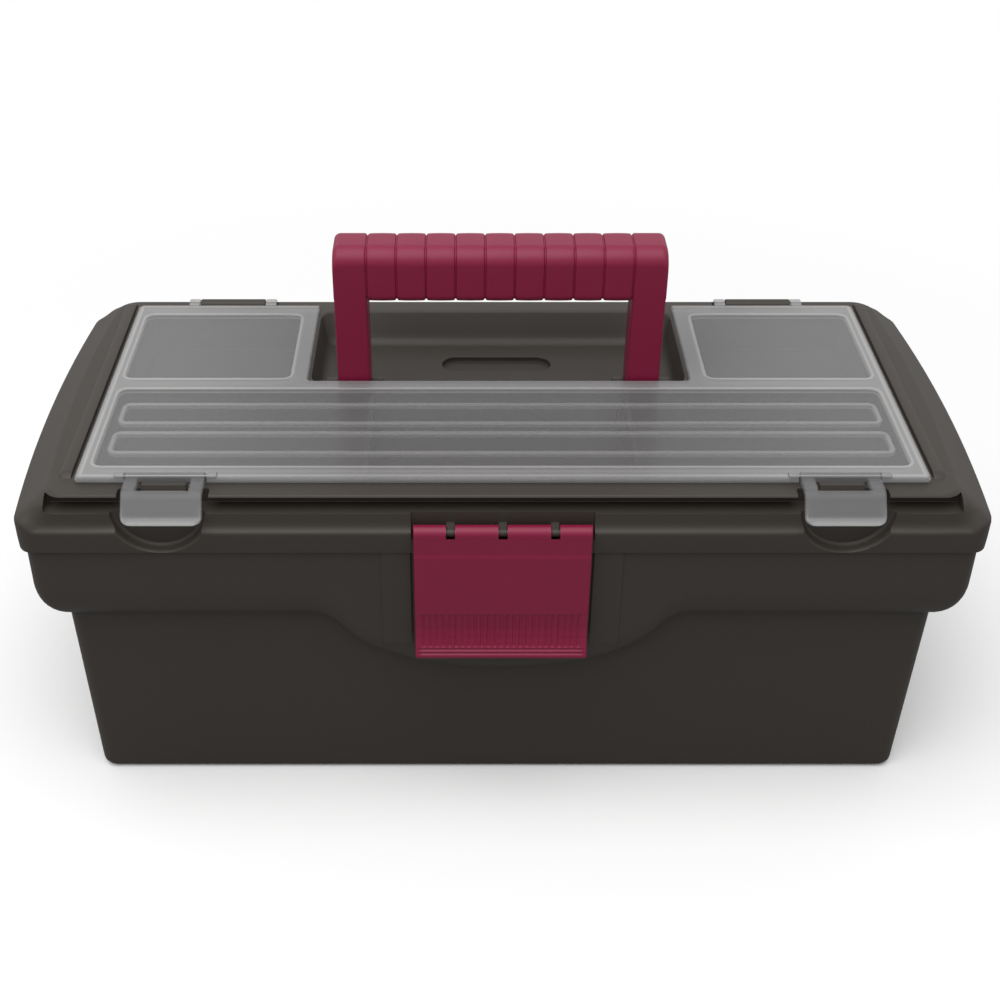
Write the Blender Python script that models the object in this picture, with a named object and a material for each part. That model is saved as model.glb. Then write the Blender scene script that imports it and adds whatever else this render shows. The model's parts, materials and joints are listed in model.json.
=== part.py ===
"""Plastic toolbox with a lift-out tray and an organiser lid.

The tub and the lid are lofted from bowed rectangles and cut with Booleans. The lid carries a folding handle
in a pocket, wells under a U-shaped clear cover, and a centre latch. X runs along the box and -Y is the front.
Shapes are placed from the middle of the rim, and the whole box is then moved to stand centred on the origin.
"""

import math

import bmesh
import bpy
from mathutils import Matrix, Vector

MM = 0.001

# Tub and rim
box_width = 330 * MM  # across the bowed sides, half way along them
box_depth = 148 * MM
side_bow = 3.75 * MM  # how far each side bulges past its corners
corner_radius = 5 * MM
rim_height = 109.6 * MM  # from the floor to the parting line
wall = 2.4 * MM
floor_thickness = 2.6 * MM
seat_gap = 0.3 * MM  # between pieces that touch
collar_height = 31.2 * MM
collar_setback = 2.0 * MM  # the collar stands behind the lid's band
collar_overhang = 8.2 * MM  # past the body below it
collar_curve = 16 * MM  # height of the rounded part
body_draft = 1.9 * MM  # taken in on each side over the height of the body
foot_radius = 3.5 * MM
ledge_drop = 25.6 * MM  # the tray rests this far under the parting line
ledge_width = 5.1 * MM
bib_half_width = 57 * MM
bib_drop = 24.3 * MM  # the bib's lower edge is this far under the collar
bib_rounding = 11 * MM
cheek_width = 10.5 * MM  # the raised panels on both sides of the latch
cheek_height = 41 * MM
cheek_thickness = 1.4 * MM

# Lid
lid_height = 20.8 * MM  # from the parting line to the deck
lid_wall = 3.2 * MM
deck_thickness = 2.3 * MM
band_height = 10.3 * MM
deck_inset_side = 11.3 * MM  # the deck's edge, in from the band
deck_inset_front = 4.9 * MM
groove_height = 4.0 * MM
groove_roof = 0.9 * MM
groove_depth = 4.2 * MM
groove_end = 151 * MM  # from the middle of the box
rail_height = 1.4 * MM  # the raised rails along the cover's sides
rail_width = 5.0 * MM
front_fill = 11 * MM  # solid behind the lid's shoulder, in from the band

# Organiser wells, handle pocket and cover
cover_width = 284 * MM
cover_depth = 125.2 * MM
cover_thickness = 1.7 * MM
cover_corner = 2.5 * MM
cover_gap = 1.2 * MM  # between the cover's sides and the rails
strip_depth = 65.2 * MM  # the cover's front strip, to the edge of the handle pocket
panel_recess = 0.6 * MM
panel_corner = 3 * MM
border_side = 5 * MM  # from the cover's sides to the recesses
border_front = 8.7 * MM  # from its front edge, and from its back edge to the wings' recesses
border_pocket = 4.5 * MM  # between a wing's recess and the handle pocket
rib_behind_strip = 8.7 * MM  # between the strip's recess and the wings'
rib_into_wing = 1.4 * MM  # how much of that rib lies behind the strip
line_width = 1.6 * MM  # of the two long raised outlines in the strip's recess
outline_depth = 14 * MM
outline_pitch = 19.1 * MM
outline_start = 16 * MM  # from the cover's front edge to the nearer outline
outline_side = 7.2 * MM  # from the cover's sides
well_rim = 3.0 * MM  # deck left under the cover's edge
well_depth = 16.5 * MM
well_wall = 2.0 * MM
well_corner = 3 * MM
strip_seat = 5.2 * MM  # deck between the front well and the wings' wells
pocket_half_width = 69 * MM
pocket_length = 57.5 * MM
pocket_depth = 11 * MM
pocket_radius = 6 * MM
pocket_draft = 2 * MM
finger_slot_length = 42 * MM
finger_slot_width = 11 * MM
finger_slot_depth = 1.3 * MM
finger_slot_back = 20.5 * MM  # from the pocket's back wall to the slot's centre line

# Handle
handle_half_width = 58.9 * MM
handle_leg = 11.8 * MM
handle_leg_depth = 14 * MM
grip_depth = 20 * MM
grip_height = 19.2 * MM
grip_radius = 6 * MM  # along its top edges
grip_under = 3 * MM  # and along its lower ones
grip_end = 3 * MM  # at its outer ends
handle_rise = 50.5 * MM  # the top of the grip over the cover
handle_front_gap = 1.4 * MM  # behind the cover's strip
grip_grooves = 10
groove_pitch = 10.45 * MM
groove_bite = 0.9 * MM
groove_half_width = 0.8 * MM
handle_pin_radius = 1.75 * MM
handle_pivot_height = 5.1 * MM  # over the pocket's floor
ear_width = 4.1 * MM
ear_radius = 3.7 * MM
ear_gap = 0.4 * MM

# Latch
latch_width = 59 * MM
latch_height = 52.8 * MM
latch_thickness = 2.6 * MM
latch_reach = 2.4 * MM  # the latch's face stands this far in front of the band
latch_lip = 4.8 * MM  # and its lower lip this far
lip_height = 9 * MM
latch_barrel = 2.6 * MM
latch_pin_radius = 1.1 * MM
latch_side_gap = 0.8 * MM
notch_pitch = 17.25 * MM
notch_width = 3.6 * MM
lug_width = 2.6 * MM
latch_pocket = 3.2 * MM  # how far the recess behind the barrel goes in, from the axis
hook_height = 7 * MM  # from the latch's lower edge to the top of its hook
hook_reach = 1.2 * MM
catch_reach = 1.0 * MM
catch_width = 48 * MM
catch_gap = 2.6 * MM  # between the hook and the catch over it

# Hinges
hinge_spacing = 200 * MM  # between the lid's two hinges
knuckle_length = 8 * MM
lid_knuckle = 11.2 * MM
knuckle_gap = 0.4 * MM
knuckle_radius = 3.2 * MM
hinge_setback = 3.5 * MM  # axis behind the band
hinge_pin_radius = 1.5 * MM
cover_hinge_spacing = 209.5 * MM
cover_knuckle = 25.5 * MM
cover_ear = 4.2 * MM
cover_ear_gap = 0.35 * MM
cover_hinge_radius = 2.3 * MM
cover_hinge_setback = 2.7 * MM  # axis behind the cover's edge
cover_pin_radius = 0.9 * MM
hinge_slot_depth = 2.5 * MM
pin_play = 0.3 * MM

# Clips
clip_spacing = 223 * MM
clip_width = 26 * MM
clip_thickness = 1.8 * MM
clip_flat = 9.7 * MM  # from the hinge to the bend
clip_run = 6.2 * MM  # bend to tip, forwards
clip_drop = 8.2 * MM  # and down
clip_sink = 0.3 * MM  # the arm's middle is this far under the clip's axis
clip_barrel = 1.5 * MM
clip_pin_radius = 0.6 * MM
clip_side_gap = 0.5 * MM
clip_ear = 3.4 * MM
window_width = 18 * MM
window_length = 6.6 * MM
window_start = 2.1 * MM  # from the clip's axis
nub_width = 15 * MM
nub_length = 2.6 * MM
nub_height = 1.5 * MM
scoop_radius = 16 * MM
scoop_depth = 4.2 * MM
scoop_centre = 17 * MM  # over the parting line

# Tray
tray_drop = 3.6 * MM  # the tray's rim is this far under the parting line
tray_hang = 10 * MM  # how far the tray's bottom hangs under the ledge
tray_wall = 2.0 * MM
tray_play = 0.9 * MM
tray_draft = 1.0 * MM
tray_rim_inset = 5.6 * MM
tray_grip_width = 84 * MM
tray_grip_thickness = 8 * MM
tray_grip_rise = 3.2 * MM
tray_grip_seat = 4 * MM  # the length of wall that each end of the grip sits over
tray_notch_depth = 19 * MM  # under the tray's rim
tray_notch_rounding = 3 * MM
tray_hole_top = 5 * MM  # the grip's underside, under the tray's rim
divider_thickness = 1.6 * MM
divider_play = 0.35 * MM
guide_width = 1.6 * MM
guide_reach = 2.0 * MM
tray_divider_x = 78 * MM
organiser_divider_x = 46 * MM

# Smoothness
corner_steps = 4
side_steps = 6
round_steps = 16

# Places that follow from the sizes
half_depth = box_depth / 2
deck_height = rim_height + lid_height
ledge_height = rim_height - ledge_drop
tray_top = rim_height - tray_drop
collar_bottom = rim_height - collar_height
body_inset = collar_setback + collar_overhang
cover_bottom = deck_height + seat_gap
cover_top = cover_bottom + cover_thickness
cover_front = -cover_depth / 2
cover_back = cover_depth / 2
strip_back = cover_front + strip_depth
pocket_front = strip_back + 0.8 * MM
pocket_floor = deck_height - pocket_depth
pocket_back = pocket_front + pocket_length
well_floor = deck_height - well_depth
front_well_front = cover_front + well_rim
front_well_back = strip_back - strip_seat
wing_well_front = front_well_back + well_wall + seat_gap
wing_well_back = cover_back - 4 * MM
well_side = cover_width / 2 - 5.5 * MM
wing_well_inner = pocket_half_width + 3.5 * MM
handle_front = strip_back + handle_front_gap
handle_axis = Vector((0, handle_front + handle_leg_depth / 2, pocket_floor + handle_pivot_height))
handle_top = cover_top + handle_rise
lid_axis = Vector((0, half_depth + hinge_setback, rim_height + seat_gap / 2))
cover_axis = Vector((0, cover_back + cover_hinge_setback, cover_bottom + 0.2 * MM))
band_top = rim_height + band_height
latch_face = -half_depth - latch_reach
latch_top = band_top + 1.3 * MM
latch_axis = Vector((0, latch_face + latch_barrel, latch_top - latch_barrel))
latch_back = latch_face + latch_thickness
latch_bottom = latch_top - latch_height
clip_axis = Vector((0, cover_front + 1.8 * MM, cover_bottom + clip_barrel))
tray_floor = ledge_height + seat_gap - tray_hang
tray_low_inset = body_inset + wall + tray_play
tray_seat_inset = tray_low_inset - ledge_width


# ---- Shared helpers


def arc(centre, radius, start, end, steps):
    """Points on an arc in a plane, with the angles in degrees."""
    points = []
    for step in range(steps + 1):
        angle = math.radians(start + (end - start) * step / steps)
        points.append((centre[0] + radius * math.cos(angle), centre[1] + radius * math.sin(angle)))
    return points


def bowed_outline(inset_side, inset_front, radius):
    """A rectangle with rounded corners and gently bowed short sides, in from the band's outline."""
    reach_x = box_width / 2 - inset_side
    reach_y = half_depth - inset_front
    straight = reach_y - radius

    def side(y):
        return reach_x - side_bow * (y / reach_y) ** 2

    corner_x = side(straight) - radius
    right = [(side(y), y) for y in (straight * (2 * step / side_steps - 1) for step in range(1, side_steps))]
    left = [(-x, -y) for x, y in right]
    return (
        arc((corner_x, -straight), radius, -90, 0, corner_steps)
        + right
        + arc((corner_x, straight), radius, 0, 90, corner_steps)
        + arc((-corner_x, straight), radius, 90, 180, corner_steps)
        + left
        + arc((-corner_x, -straight), radius, 180, 270, corner_steps)
    )


def rounded_rectangle(low, high, radius, steps=corner_steps):
    return (
        arc((high[0] - radius, low[1] + radius), radius, -90, 0, steps)
        + arc((high[0] - radius, high[1] - radius), radius, 0, 90, steps)
        + arc((low[0] + radius, high[1] - radius), radius, 90, 180, steps)
        + arc((low[0] + radius, low[1] + radius), radius, 180, 270, steps)
    )


def lift(outline, z):
    return [Vector((x, y, z)) for x, y in outline]


def upright(outline, x):
    """Turns a (y, z) outline into points in the plane at x."""
    return [Vector((x, y, z)) for y, z in outline]


def facing(outline, y):
    """Turns an (x, z) outline into points in the plane at y."""
    return [Vector((x, y, z)) for x, z in outline]


def add_loft(bm, rings):
    """A closed solid through rings with the same number of points, capped at both ends."""
    loops = [[bm.verts.new(point) for point in ring] for ring in rings]
    for lower, upper in zip(loops, loops[1:]):
        for index in range(len(lower)):
            following = (index + 1) % len(lower)
            bm.faces.new((lower[index], lower[following], upper[following], upper[index]))
    bm.faces.new(reversed(loops[0]))
    bm.faces.new(loops[-1])


def add_ring(bm, outer, inner, low, high):
    """A closed band between two flat outlines with the same number of points."""
    rings = [lift(outer, low), lift(outer, high), lift(inner, high), lift(inner, low)]
    loops = [[bm.verts.new(point) for point in ring] for ring in rings]
    for first, second in zip(loops, loops[1:] + loops[:1]):
        for index in range(len(first)):
            following = (index + 1) % len(first)
            bm.faces.new((first[index], first[following], second[following], second[index]))


def add_box(bm, low, high):
    corners = [(low[0], low[1]), (high[0], low[1]), (high[0], high[1]), (low[0], high[1])]
    add_loft(bm, [lift(corners, low[2]), lift(corners, high[2])])


def add_rod(bm, centre, radius, start, end, steps=round_steps):
    """A cylinder along X, from start to end, about a centre given as (y, z)."""
    circle = arc(centre, radius, 0, 360 - 360 / steps, steps - 1)
    add_loft(bm, [upright(circle, start), upright(circle, end)])


def add_bar(bm, outline, start, end):
    """A (y, z) outline extruded along X."""
    add_loft(bm, [upright(outline, start), upright(outline, end)])


def plastic(name, colour, roughness, transmission=0.0, metallic=0.0):
    """A Principled material from an sRGB colour."""
    made = bpy.data.materials.new(name)
    made.use_nodes = True
    shader = made.node_tree.nodes["Principled BSDF"]
    channels = [int(colour[index : index + 2], 16) / 255 for index in (0, 2, 4)]
    linear = [c / 12.92 if c <= 0.04045 else ((c + 0.055) / 1.055) ** 2.4 for c in channels]
    shader.inputs["Base Color"].default_value = (*linear, 1)
    shader.inputs["Roughness"].default_value = roughness
    shader.inputs["Transmission Weight"].default_value = transmission
    shader.inputs["Metallic"].default_value = metallic
    made.diffuse_color = (*linear, 1)
    return made


class Frame:
    """An empty on a joint's axis, whose pieces are placed by it."""

    def __init__(self, name, place, parent=None):
        self.place = Vector(place)
        self.empty = bpy.data.objects.new(name, None)
        self.empty.empty_display_size = 10 * MM
        bpy.context.scene.collection.objects.link(self.empty)
        self.empty.location = self.place - (parent.place if parent else Vector())
        if parent:
            self.empty.parent = parent.empty

    def solid(self, name, build, material=None, smooth_angle=35):
        """Makes one object from a function that fills a bmesh in the box's own coordinates."""
        bm = bmesh.new()
        build(bm)
        bmesh.ops.recalc_face_normals(bm, faces=bm.faces)
        mesh = bpy.data.meshes.new(name)
        bm.to_mesh(mesh)
        bm.free()
        mesh.transform(Matrix.Translation(-self.place))
        mesh.shade_smooth()
        mesh.set_sharp_from_angle(angle=math.radians(smooth_angle))
        made = bpy.data.objects.new(name, mesh)
        made.parent = self.empty
        bpy.context.scene.collection.objects.link(made)
        if material:
            mesh.materials.append(material)
        else:
            made.hide_render = True
            made.display_type = "WIRE"
        return made

    def tool(self, name, build):
        """A solid that only cuts or joins."""
        return self.solid(name, build)


def combine(target, tool, operation):
    step = target.modifiers.new(tool.name, "BOOLEAN")
    step.operation = operation
    step.object = tool
    return target


def cut(target, *tools):
    for tool in tools:
        combine(target, tool, "DIFFERENCE")


def join(target, *tools):
    for tool in tools:
        combine(target, tool, "UNION")


# ---- Tub


def collar_profile(setback, height, top, steps):
    """(inset, z) up a quarter ellipse from the body to the collar's straight part."""
    profile = []
    for step in range(steps + 1):
        turn = math.pi / 2 * step / steps
        profile.append((setback - collar_overhang * math.sin(turn), top + height * (1 - math.cos(turn))))
    return profile


def tub_shell(bm):
    foot_inset = body_inset + body_draft
    rings = [
        (foot_inset + foot_radius, 0, corner_radius),
        (foot_inset + foot_radius * 0.3, foot_radius * 0.3, corner_radius),
        (foot_inset, foot_radius, corner_radius),
    ]
    rings += [
        (inset, z, corner_radius)
        for inset, z in collar_profile(body_inset, collar_curve, collar_bottom, 5)
    ]
    rings.append((collar_setback, rim_height, corner_radius))
    inner_inset = body_inset + wall
    inner_radius = corner_radius - wall
    ledge_inset = inner_inset - ledge_width
    rings += [
        (collar_setback + wall, rim_height, inner_radius),
        (collar_setback + wall, ledge_height + 10 * MM, inner_radius),
        (collar_setback + wall + 1.0 * MM, ledge_height + 4.5 * MM, inner_radius),
        (ledge_inset, ledge_height, inner_radius),
        (inner_inset, ledge_height, inner_radius),
        (foot_inset + wall, floor_thickness + foot_radius, inner_radius),
        (foot_inset + wall + foot_radius * 0.6, floor_thickness, inner_radius),
    ]
    add_loft(bm, [lift(bowed_outline(inset, inset, radius), z) for inset, z, radius in rings])


def bib(bm):
    """The apron under the collar, behind the latch: half an ellipse with the collar's rounding."""
    body_front = -half_depth + body_inset
    under_ledge = ledge_height - 0.5 * MM
    collar_top = collar_bottom + collar_curve
    tops = (under_ledge, under_ledge, ledge_height + 5 * MM, collar_top, collar_top)
    rings = []
    for step, top in enumerate(tops):
        turn = math.pi / 2 * step / (len(tops) - 1)
        shrink = bib_rounding * (1 - math.cos(turn))
        y = body_front - (collar_overhang - 0.2 * MM) * math.sin(turn)
        reach = bib_half_width - shrink
        drop = bib_drop - shrink
        lower = [
            (-reach * math.cos(math.pi * k / 16), collar_bottom - drop * math.sin(math.pi * k / 16))
            for k in range(17)
        ]
        outline = [(-reach, top), *lower, (reach, top)]
        rings.append(facing(outline, y))
    back = [Vector((point.x, body_front + wall * 0.8, point.z)) for point in rings[0]]
    add_loft(bm, [back, *rings])


def latch_cheeks(bm):
    """Flat raised panels on the collar beside the latch, and the catch that its hook goes under."""
    front = -half_depth + collar_setback - cheek_thickness
    back = -half_depth + collar_setback + wall / 2
    inner = latch_width / 2 + latch_side_gap
    for side in (-1, 1):
        ends = sorted((side * inner, side * (inner + cheek_width)))
        top = rim_height - 0.8 * MM
        slant = cheek_thickness + wall / 2
        low = top - cheek_height
        profile = [(back, top), (front, top - 0.8 * MM), (front, low + slant), (back, low)]
        add_bar(bm, profile, *ends)
    tip = -half_depth + collar_setback - catch_reach
    low = latch_bottom + hook_height + catch_gap
    catch = [(back, low - 0.2 * MM), (tip, low), (tip, low + 1.2 * MM), (back, low + 4.5 * MM)]
    add_bar(bm, catch, -catch_width / 2, catch_width / 2)


def lug(centre, radius, wall_points, start, end, steps=8):
    """A knuckle's outline: an arc about its axis, from one angle to another, and points on the wall."""
    return arc(centre, radius, start, end, steps) + list(wall_points)


def tub_knuckles(bm):
    collar_back = half_depth - collar_setback
    centre = (lid_axis.y, lid_axis.z)
    foot = [
        (half_depth + seat_gap, rim_height - 0.2 * MM),
        (collar_back - wall / 2, rim_height - 0.2 * MM),
        (collar_back - wall / 2, rim_height - 9 * MM),
    ]
    outline = lug(centre, knuckle_radius, foot, -50, 180)
    for side in (-1, 1):
        for inner in (lid_knuckle / 2 + knuckle_gap, -lid_knuckle / 2 - knuckle_gap - knuckle_length):
            start = side * hinge_spacing / 2 + inner
            add_bar(bm, outline, start, start + knuckle_length)


def hinge_bores(bm):
    for side in (-1, 1):
        middle = side * hinge_spacing / 2
        reach = hinge_pin_length() / 2 + 2 * MM
        add_rod(bm, (lid_axis.y, lid_axis.z), hinge_pin_radius + pin_play, middle - reach, middle + reach)


def hinge_pin_length():
    return lid_knuckle + 2 * knuckle_gap + 2 * knuckle_length


def make_tub(frame, material):
    tub = frame.solid("tub", tub_shell, material)
    join(tub, frame.tool("tub_bib", bib), frame.tool("tub_cheeks", latch_cheeks))
    join(tub, frame.tool("tub_knuckles", tub_knuckles))
    cut(tub, frame.tool("tub_hinge_bores", hinge_bores))


# ---- Lid


def lid_outer(bm):
    bottom = rim_height + seat_gap
    slope = deck_height - band_top
    rings = [
        (0.4 * MM, 0.4 * MM, bottom, corner_radius),
        (0, 0, band_top - 1.0 * MM, corner_radius),
        (0.8 * MM, 0.5 * MM, band_top + 0.5 * MM, corner_radius),
        (deck_inset_side * 0.5, deck_inset_front * 0.42, band_top + slope * 0.52, corner_radius),
        (deck_inset_side - 1.2 * MM, deck_inset_front - 0.5 * MM, deck_height - 0.9 * MM, corner_radius),
        (deck_inset_side, deck_inset_front, deck_height, corner_radius),
    ]
    add_loft(bm, [lift(bowed_outline(side, front, radius), z) for side, front, z, radius in rings])


def lid_inner(bm):
    ceiling = deck_height - deck_thickness
    rings = [
        (lid_wall, lid_wall, rim_height - 1 * MM),
        (lid_wall, lid_wall, band_top - 1.4 * MM),
        (deck_inset_side * 0.6, front_fill, band_top + 2.6 * MM),
        (deck_inset_side + deck_thickness, front_fill, ceiling),
    ]
    inner = corner_radius - wall
    add_loft(bm, [lift(bowed_outline(side, front, inner), z) for side, front, z in rings])


def well_plans():
    """The three organiser wells, each as its low and high corner in plan."""
    boxes = [((-well_side, front_well_front), (well_side, front_well_back))]
    for side in (-1, 1):
        near, far = sorted((side * wing_well_inner, side * well_side))
        boxes.append(((near, wing_well_front), (far, wing_well_back)))
    return boxes


def keep_wells(bm):
    """Everything that hangs under the deck, as one block: the cups of the wells and of the pocket."""
    top = deck_height + 1 * MM
    low = well_floor - well_wall
    reach = well_side + well_wall
    front = front_well_front - well_wall
    back = wing_well_back + well_wall
    inner = wing_well_inner - well_wall
    split = wing_well_front - well_wall
    outline = [
        (-reach, front),
        (reach, front),
        (reach, back),
        (inner, back),
        (inner, split),
        (-inner, split),
        (-inner, back),
        (-reach, back),
    ]
    add_loft(bm, [lift(outline, low), lift(outline, top)])


def keep_pocket(bm):
    add_box(
        bm,
        (-pocket_half_width - wall, front_well_back - well_wall / 2, pocket_floor - wall),
        (pocket_half_width + wall, pocket_back + wall, deck_height + 1 * MM),
    )


def keep_blocks(bm):
    """Solid left in the lid: behind the latch's recess, round the scoops and under the cover's hinges."""
    reach = latch_width / 2 + latch_side_gap + wall
    low = rim_height - 2 * MM
    high = deck_height + 1 * MM
    add_box(bm, (-reach, -half_depth - 1 * MM, low), (reach, latch_axis.y + latch_pocket + wall, high))
    for side in (-1, 1):
        middle = side * clip_spacing / 2
        scoop = arc((middle, rim_height + scoop_centre), scoop_radius + wall, 180, 360, 12)
        scoop += [(middle + scoop_radius + wall, high), (middle - scoop_radius - wall, high)]
        add_loft(
            bm,
            [facing(scoop, -half_depth - 1 * MM), facing(scoop, -half_depth + scoop_depth + wall)],
        )
        middle = side * cover_hinge_spacing / 2
        reach = hinge_slot_reach() + wall
        front = wing_well_back + 1 * MM
        back = half_depth + 1 * MM
        add_box(bm, (middle - reach, front, deck_height - 5 * MM), (middle + reach, back, high))


def cut_wells(bm):
    for low, high in well_plans():
        outline = rounded_rectangle(low, high, well_corner)
        add_loft(bm, [lift(outline, well_floor), lift(outline, deck_height + 2 * MM)])


def cut_pocket(bm):
    side = pocket_half_width
    low_side = side - pocket_draft
    low_back = pocket_back - pocket_draft
    floor = rounded_rectangle((-low_side, pocket_front), (low_side, low_back), pocket_radius - pocket_draft)
    mouth = rounded_rectangle((-side, pocket_front), (side, pocket_back), pocket_radius)
    over = deck_height + 2 * MM
    add_loft(bm, [lift(floor, pocket_floor), lift(mouth, deck_height), lift(mouth, over)])


def cut_finger_slot(bm):
    centre = pocket_back - finger_slot_back
    reach = finger_slot_length / 2
    half = finger_slot_width / 2
    outline = rounded_rectangle((-reach, centre - half), (reach, centre + half), half - 0.01 * MM, 6)
    add_loft(bm, [lift(outline, pocket_floor - finger_slot_depth), lift(outline, pocket_floor + 2 * MM)])


def cut_front(bm):
    """The shadow groove under the front of the deck, in two runs, and the recess for the latch."""
    roof = deck_height - groove_roof
    inner = latch_width / 2 + latch_side_gap
    back = -half_depth + deck_inset_front + groove_depth
    for side in (-1, 1):
        near, far = sorted((side * (inner + 1.6 * MM), side * groove_end))
        add_box(bm, (near, -half_depth - 1 * MM, roof - groove_height), (far, back, roof))
    recess = [
        (latch_back + seat_gap, rim_height - 1 * MM),
        (latch_back + seat_gap, latch_axis.z - latch_pocket),
        (latch_axis.y + latch_pocket, latch_axis.z - latch_pocket),
        (latch_axis.y + latch_pocket, roof),
        (-half_depth - 5 * MM, roof),
        (-half_depth - 5 * MM, rim_height - 1 * MM),
    ]
    add_bar(bm, recess, -inner, inner)


def cut_scoops(bm):
    """Finger room under each clip's tip."""
    for side in (-1, 1):
        middle = side * clip_spacing / 2
        centre = (middle, rim_height + scoop_centre)
        high = deck_height - groove_roof
        fillet = 1.5 * MM
        steps = (
            (-1 * MM, scoop_radius),
            (scoop_depth - fillet, scoop_radius),
            (scoop_depth, scoop_radius - fillet),
        )
        rings = []
        for depth, radius in steps:
            outline = arc(centre, radius, 180, 360, 12) + [(middle + radius, high), (middle - radius, high)]
            rings.append(facing(outline, -half_depth + depth))
        add_loft(bm, rings)


def cut_hinge_slots(bm):
    """Slots at the back of the deck where the cover's knuckles turn."""
    reach = hinge_slot_reach()
    half = cover_hinge_radius + 1.1 * MM
    floor = deck_height - hinge_slot_depth
    over = deck_height + 3 * MM
    for side in (-1, 1):
        middle = side * cover_hinge_spacing / 2
        add_box(
            bm,
            (middle - reach, cover_axis.y - half, floor),
            (middle + reach, cover_axis.y + half, over),
        )


def hinge_slot_reach():
    return cover_knuckle / 2 + cover_ear + 2 * cover_ear_gap


def cover_hinge_knuckles(bm):
    for side in (-1, 1):
        middle = side * cover_hinge_spacing / 2
        base = deck_height - hinge_slot_depth - 1 * MM
        half = cover_hinge_radius * 0.8
        outline = lug(
            (cover_axis.y, cover_axis.z),
            cover_hinge_radius,
            [(cover_axis.y - half, base), (cover_axis.y + half, base)],
            0,
            180,
        )
        add_bar(bm, outline, middle - cover_knuckle / 2, middle + cover_knuckle / 2)


def lid_knuckles(bm):
    centre = (lid_axis.y, lid_axis.z)
    band_back = half_depth - wall / 2
    foot = [
        (half_depth + seat_gap, rim_height + seat_gap + 0.3 * MM),
        (band_back, rim_height + seat_gap + 0.3 * MM),
        (band_back, rim_height + 8.5 * MM),
    ]
    outline = lug(centre, knuckle_radius, list(reversed(foot)), -180, 50)
    for side in (-1, 1):
        middle = side * hinge_spacing / 2
        add_bar(bm, outline, middle - lid_knuckle / 2, middle + lid_knuckle / 2)


def handle_ears(bm):
    """Two ears for each leg of the handle, standing on the pocket's floor."""
    base = pocket_floor - wall / 2
    outline = lug(
        (handle_axis.y, handle_axis.z),
        ear_radius,
        [(handle_axis.y - ear_radius - 1 * MM, base), (handle_axis.y + ear_radius + 1 * MM, base)],
        0,
        180,
    )
    for side in (-1, 1):
        for near in (handle_half_width + ear_gap, handle_half_width - handle_leg - ear_gap - ear_width):
            start, end = sorted((side * near, side * (near + ear_width)))
            add_bar(bm, outline, start, end)


def latch_lugs(bm):
    """Three lugs that hold the latch's pin, one in each of its notches."""
    wall_face = latch_axis.y + latch_pocket + 1 * MM
    outline = lug(
        (latch_axis.y, latch_axis.z),
        latch_barrel - 0.3 * MM,
        [(wall_face, latch_axis.z + 2.2 * MM), (wall_face, latch_axis.z - 2.6 * MM)],
        -90,
        -270,
    )
    for index in (-1, 0, 1):
        middle = index * notch_pitch
        add_bar(bm, list(reversed(outline)), middle - lug_width / 2, middle + lug_width / 2)


def clip_nubs(bm):
    """The catch that shows through each clip's window."""
    front = clip_axis.y - window_start - 1.0 * MM
    for side in (-1, 1):
        middle = side * clip_spacing / 2
        low = deck_height - 0.6 * MM
        top = deck_height + nub_height
        back = front - nub_length
        outline = [(front, low), (front, top), (back + 0.8 * MM, top), (back, low)]
        add_bar(bm, outline, middle - nub_width / 2, middle + nub_width / 2)


def side_rails(bm):
    """Raised rails on the deck along both sides of the cover, with sloping ends."""
    near = cover_width / 2 + cover_gap
    far = near + rail_width
    front = cover_front + 2 * MM
    back = half_depth - deck_inset_front - 1.5 * MM
    low = deck_height - 0.6 * MM
    top = deck_height + rail_height
    slant = 3 * MM
    steps = ((near, top, 0), (far - 1.6 * MM, top, 0), (far, deck_height + 0.1 * MM, 0.5 * MM))
    for side in (-1, 1):
        rings = []
        for x, height, pull in steps:
            profile = [
                (front + pull, low),
                (front + slant + pull, height),
                (back - slant - pull, height),
                (back - pull, low),
            ]
            rings.append(upright(profile, side * x))
        add_loft(bm, rings if side > 0 else rings[::-1])


def well_guides(bm):
    """Pairs of ribs in the front well that hold its dividers."""
    for side in (-1, 1):
        add_guides(
            bm,
            side * organiser_divider_x,
            (front_well_front, front_well_back),
            well_floor - well_wall / 2,
            deck_height - 2 * MM,
            well_wall / 2,
        )


def add_guides(bm, middle, walls, low, high, root):
    """Ribs on two facing walls, on both sides of a divider at x = middle."""
    gap = divider_thickness / 2 + divider_play
    for near in (middle - gap - guide_width, middle + gap):
        front, back = walls
        add_box(bm, (near, front - root, low), (near + guide_width, front + guide_reach, high))
        add_box(bm, (near, back - guide_reach, low), (near + guide_width, back + root, high))


def lid_bores(bm):
    """Holes for the cover's pins, the handle's pins and the latch's pin."""
    cover_hole = cover_pin_radius + pin_play
    handle_hole = handle_pin_radius + pin_play
    for side in (-1, 1):
        middle = side * cover_hinge_spacing / 2
        reach = hinge_slot_reach()
        add_rod(bm, (cover_axis.y, cover_axis.z), cover_hole, middle - reach, middle + reach, 12)
        near, far = sorted((side * handle_pin_start(), side * handle_pin_end()))
        add_rod(bm, (handle_axis.y, handle_axis.z), handle_hole, near - 1 * MM, far + 1 * MM, 12)
    reach = latch_width / 2
    add_rod(bm, (latch_axis.y, latch_axis.z), latch_pin_radius + pin_play, -reach, reach, 12)


def handle_pin_start():
    return handle_half_width - handle_leg - ear_gap - ear_width


def handle_pin_end():
    return handle_half_width + ear_gap + ear_width


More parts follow.
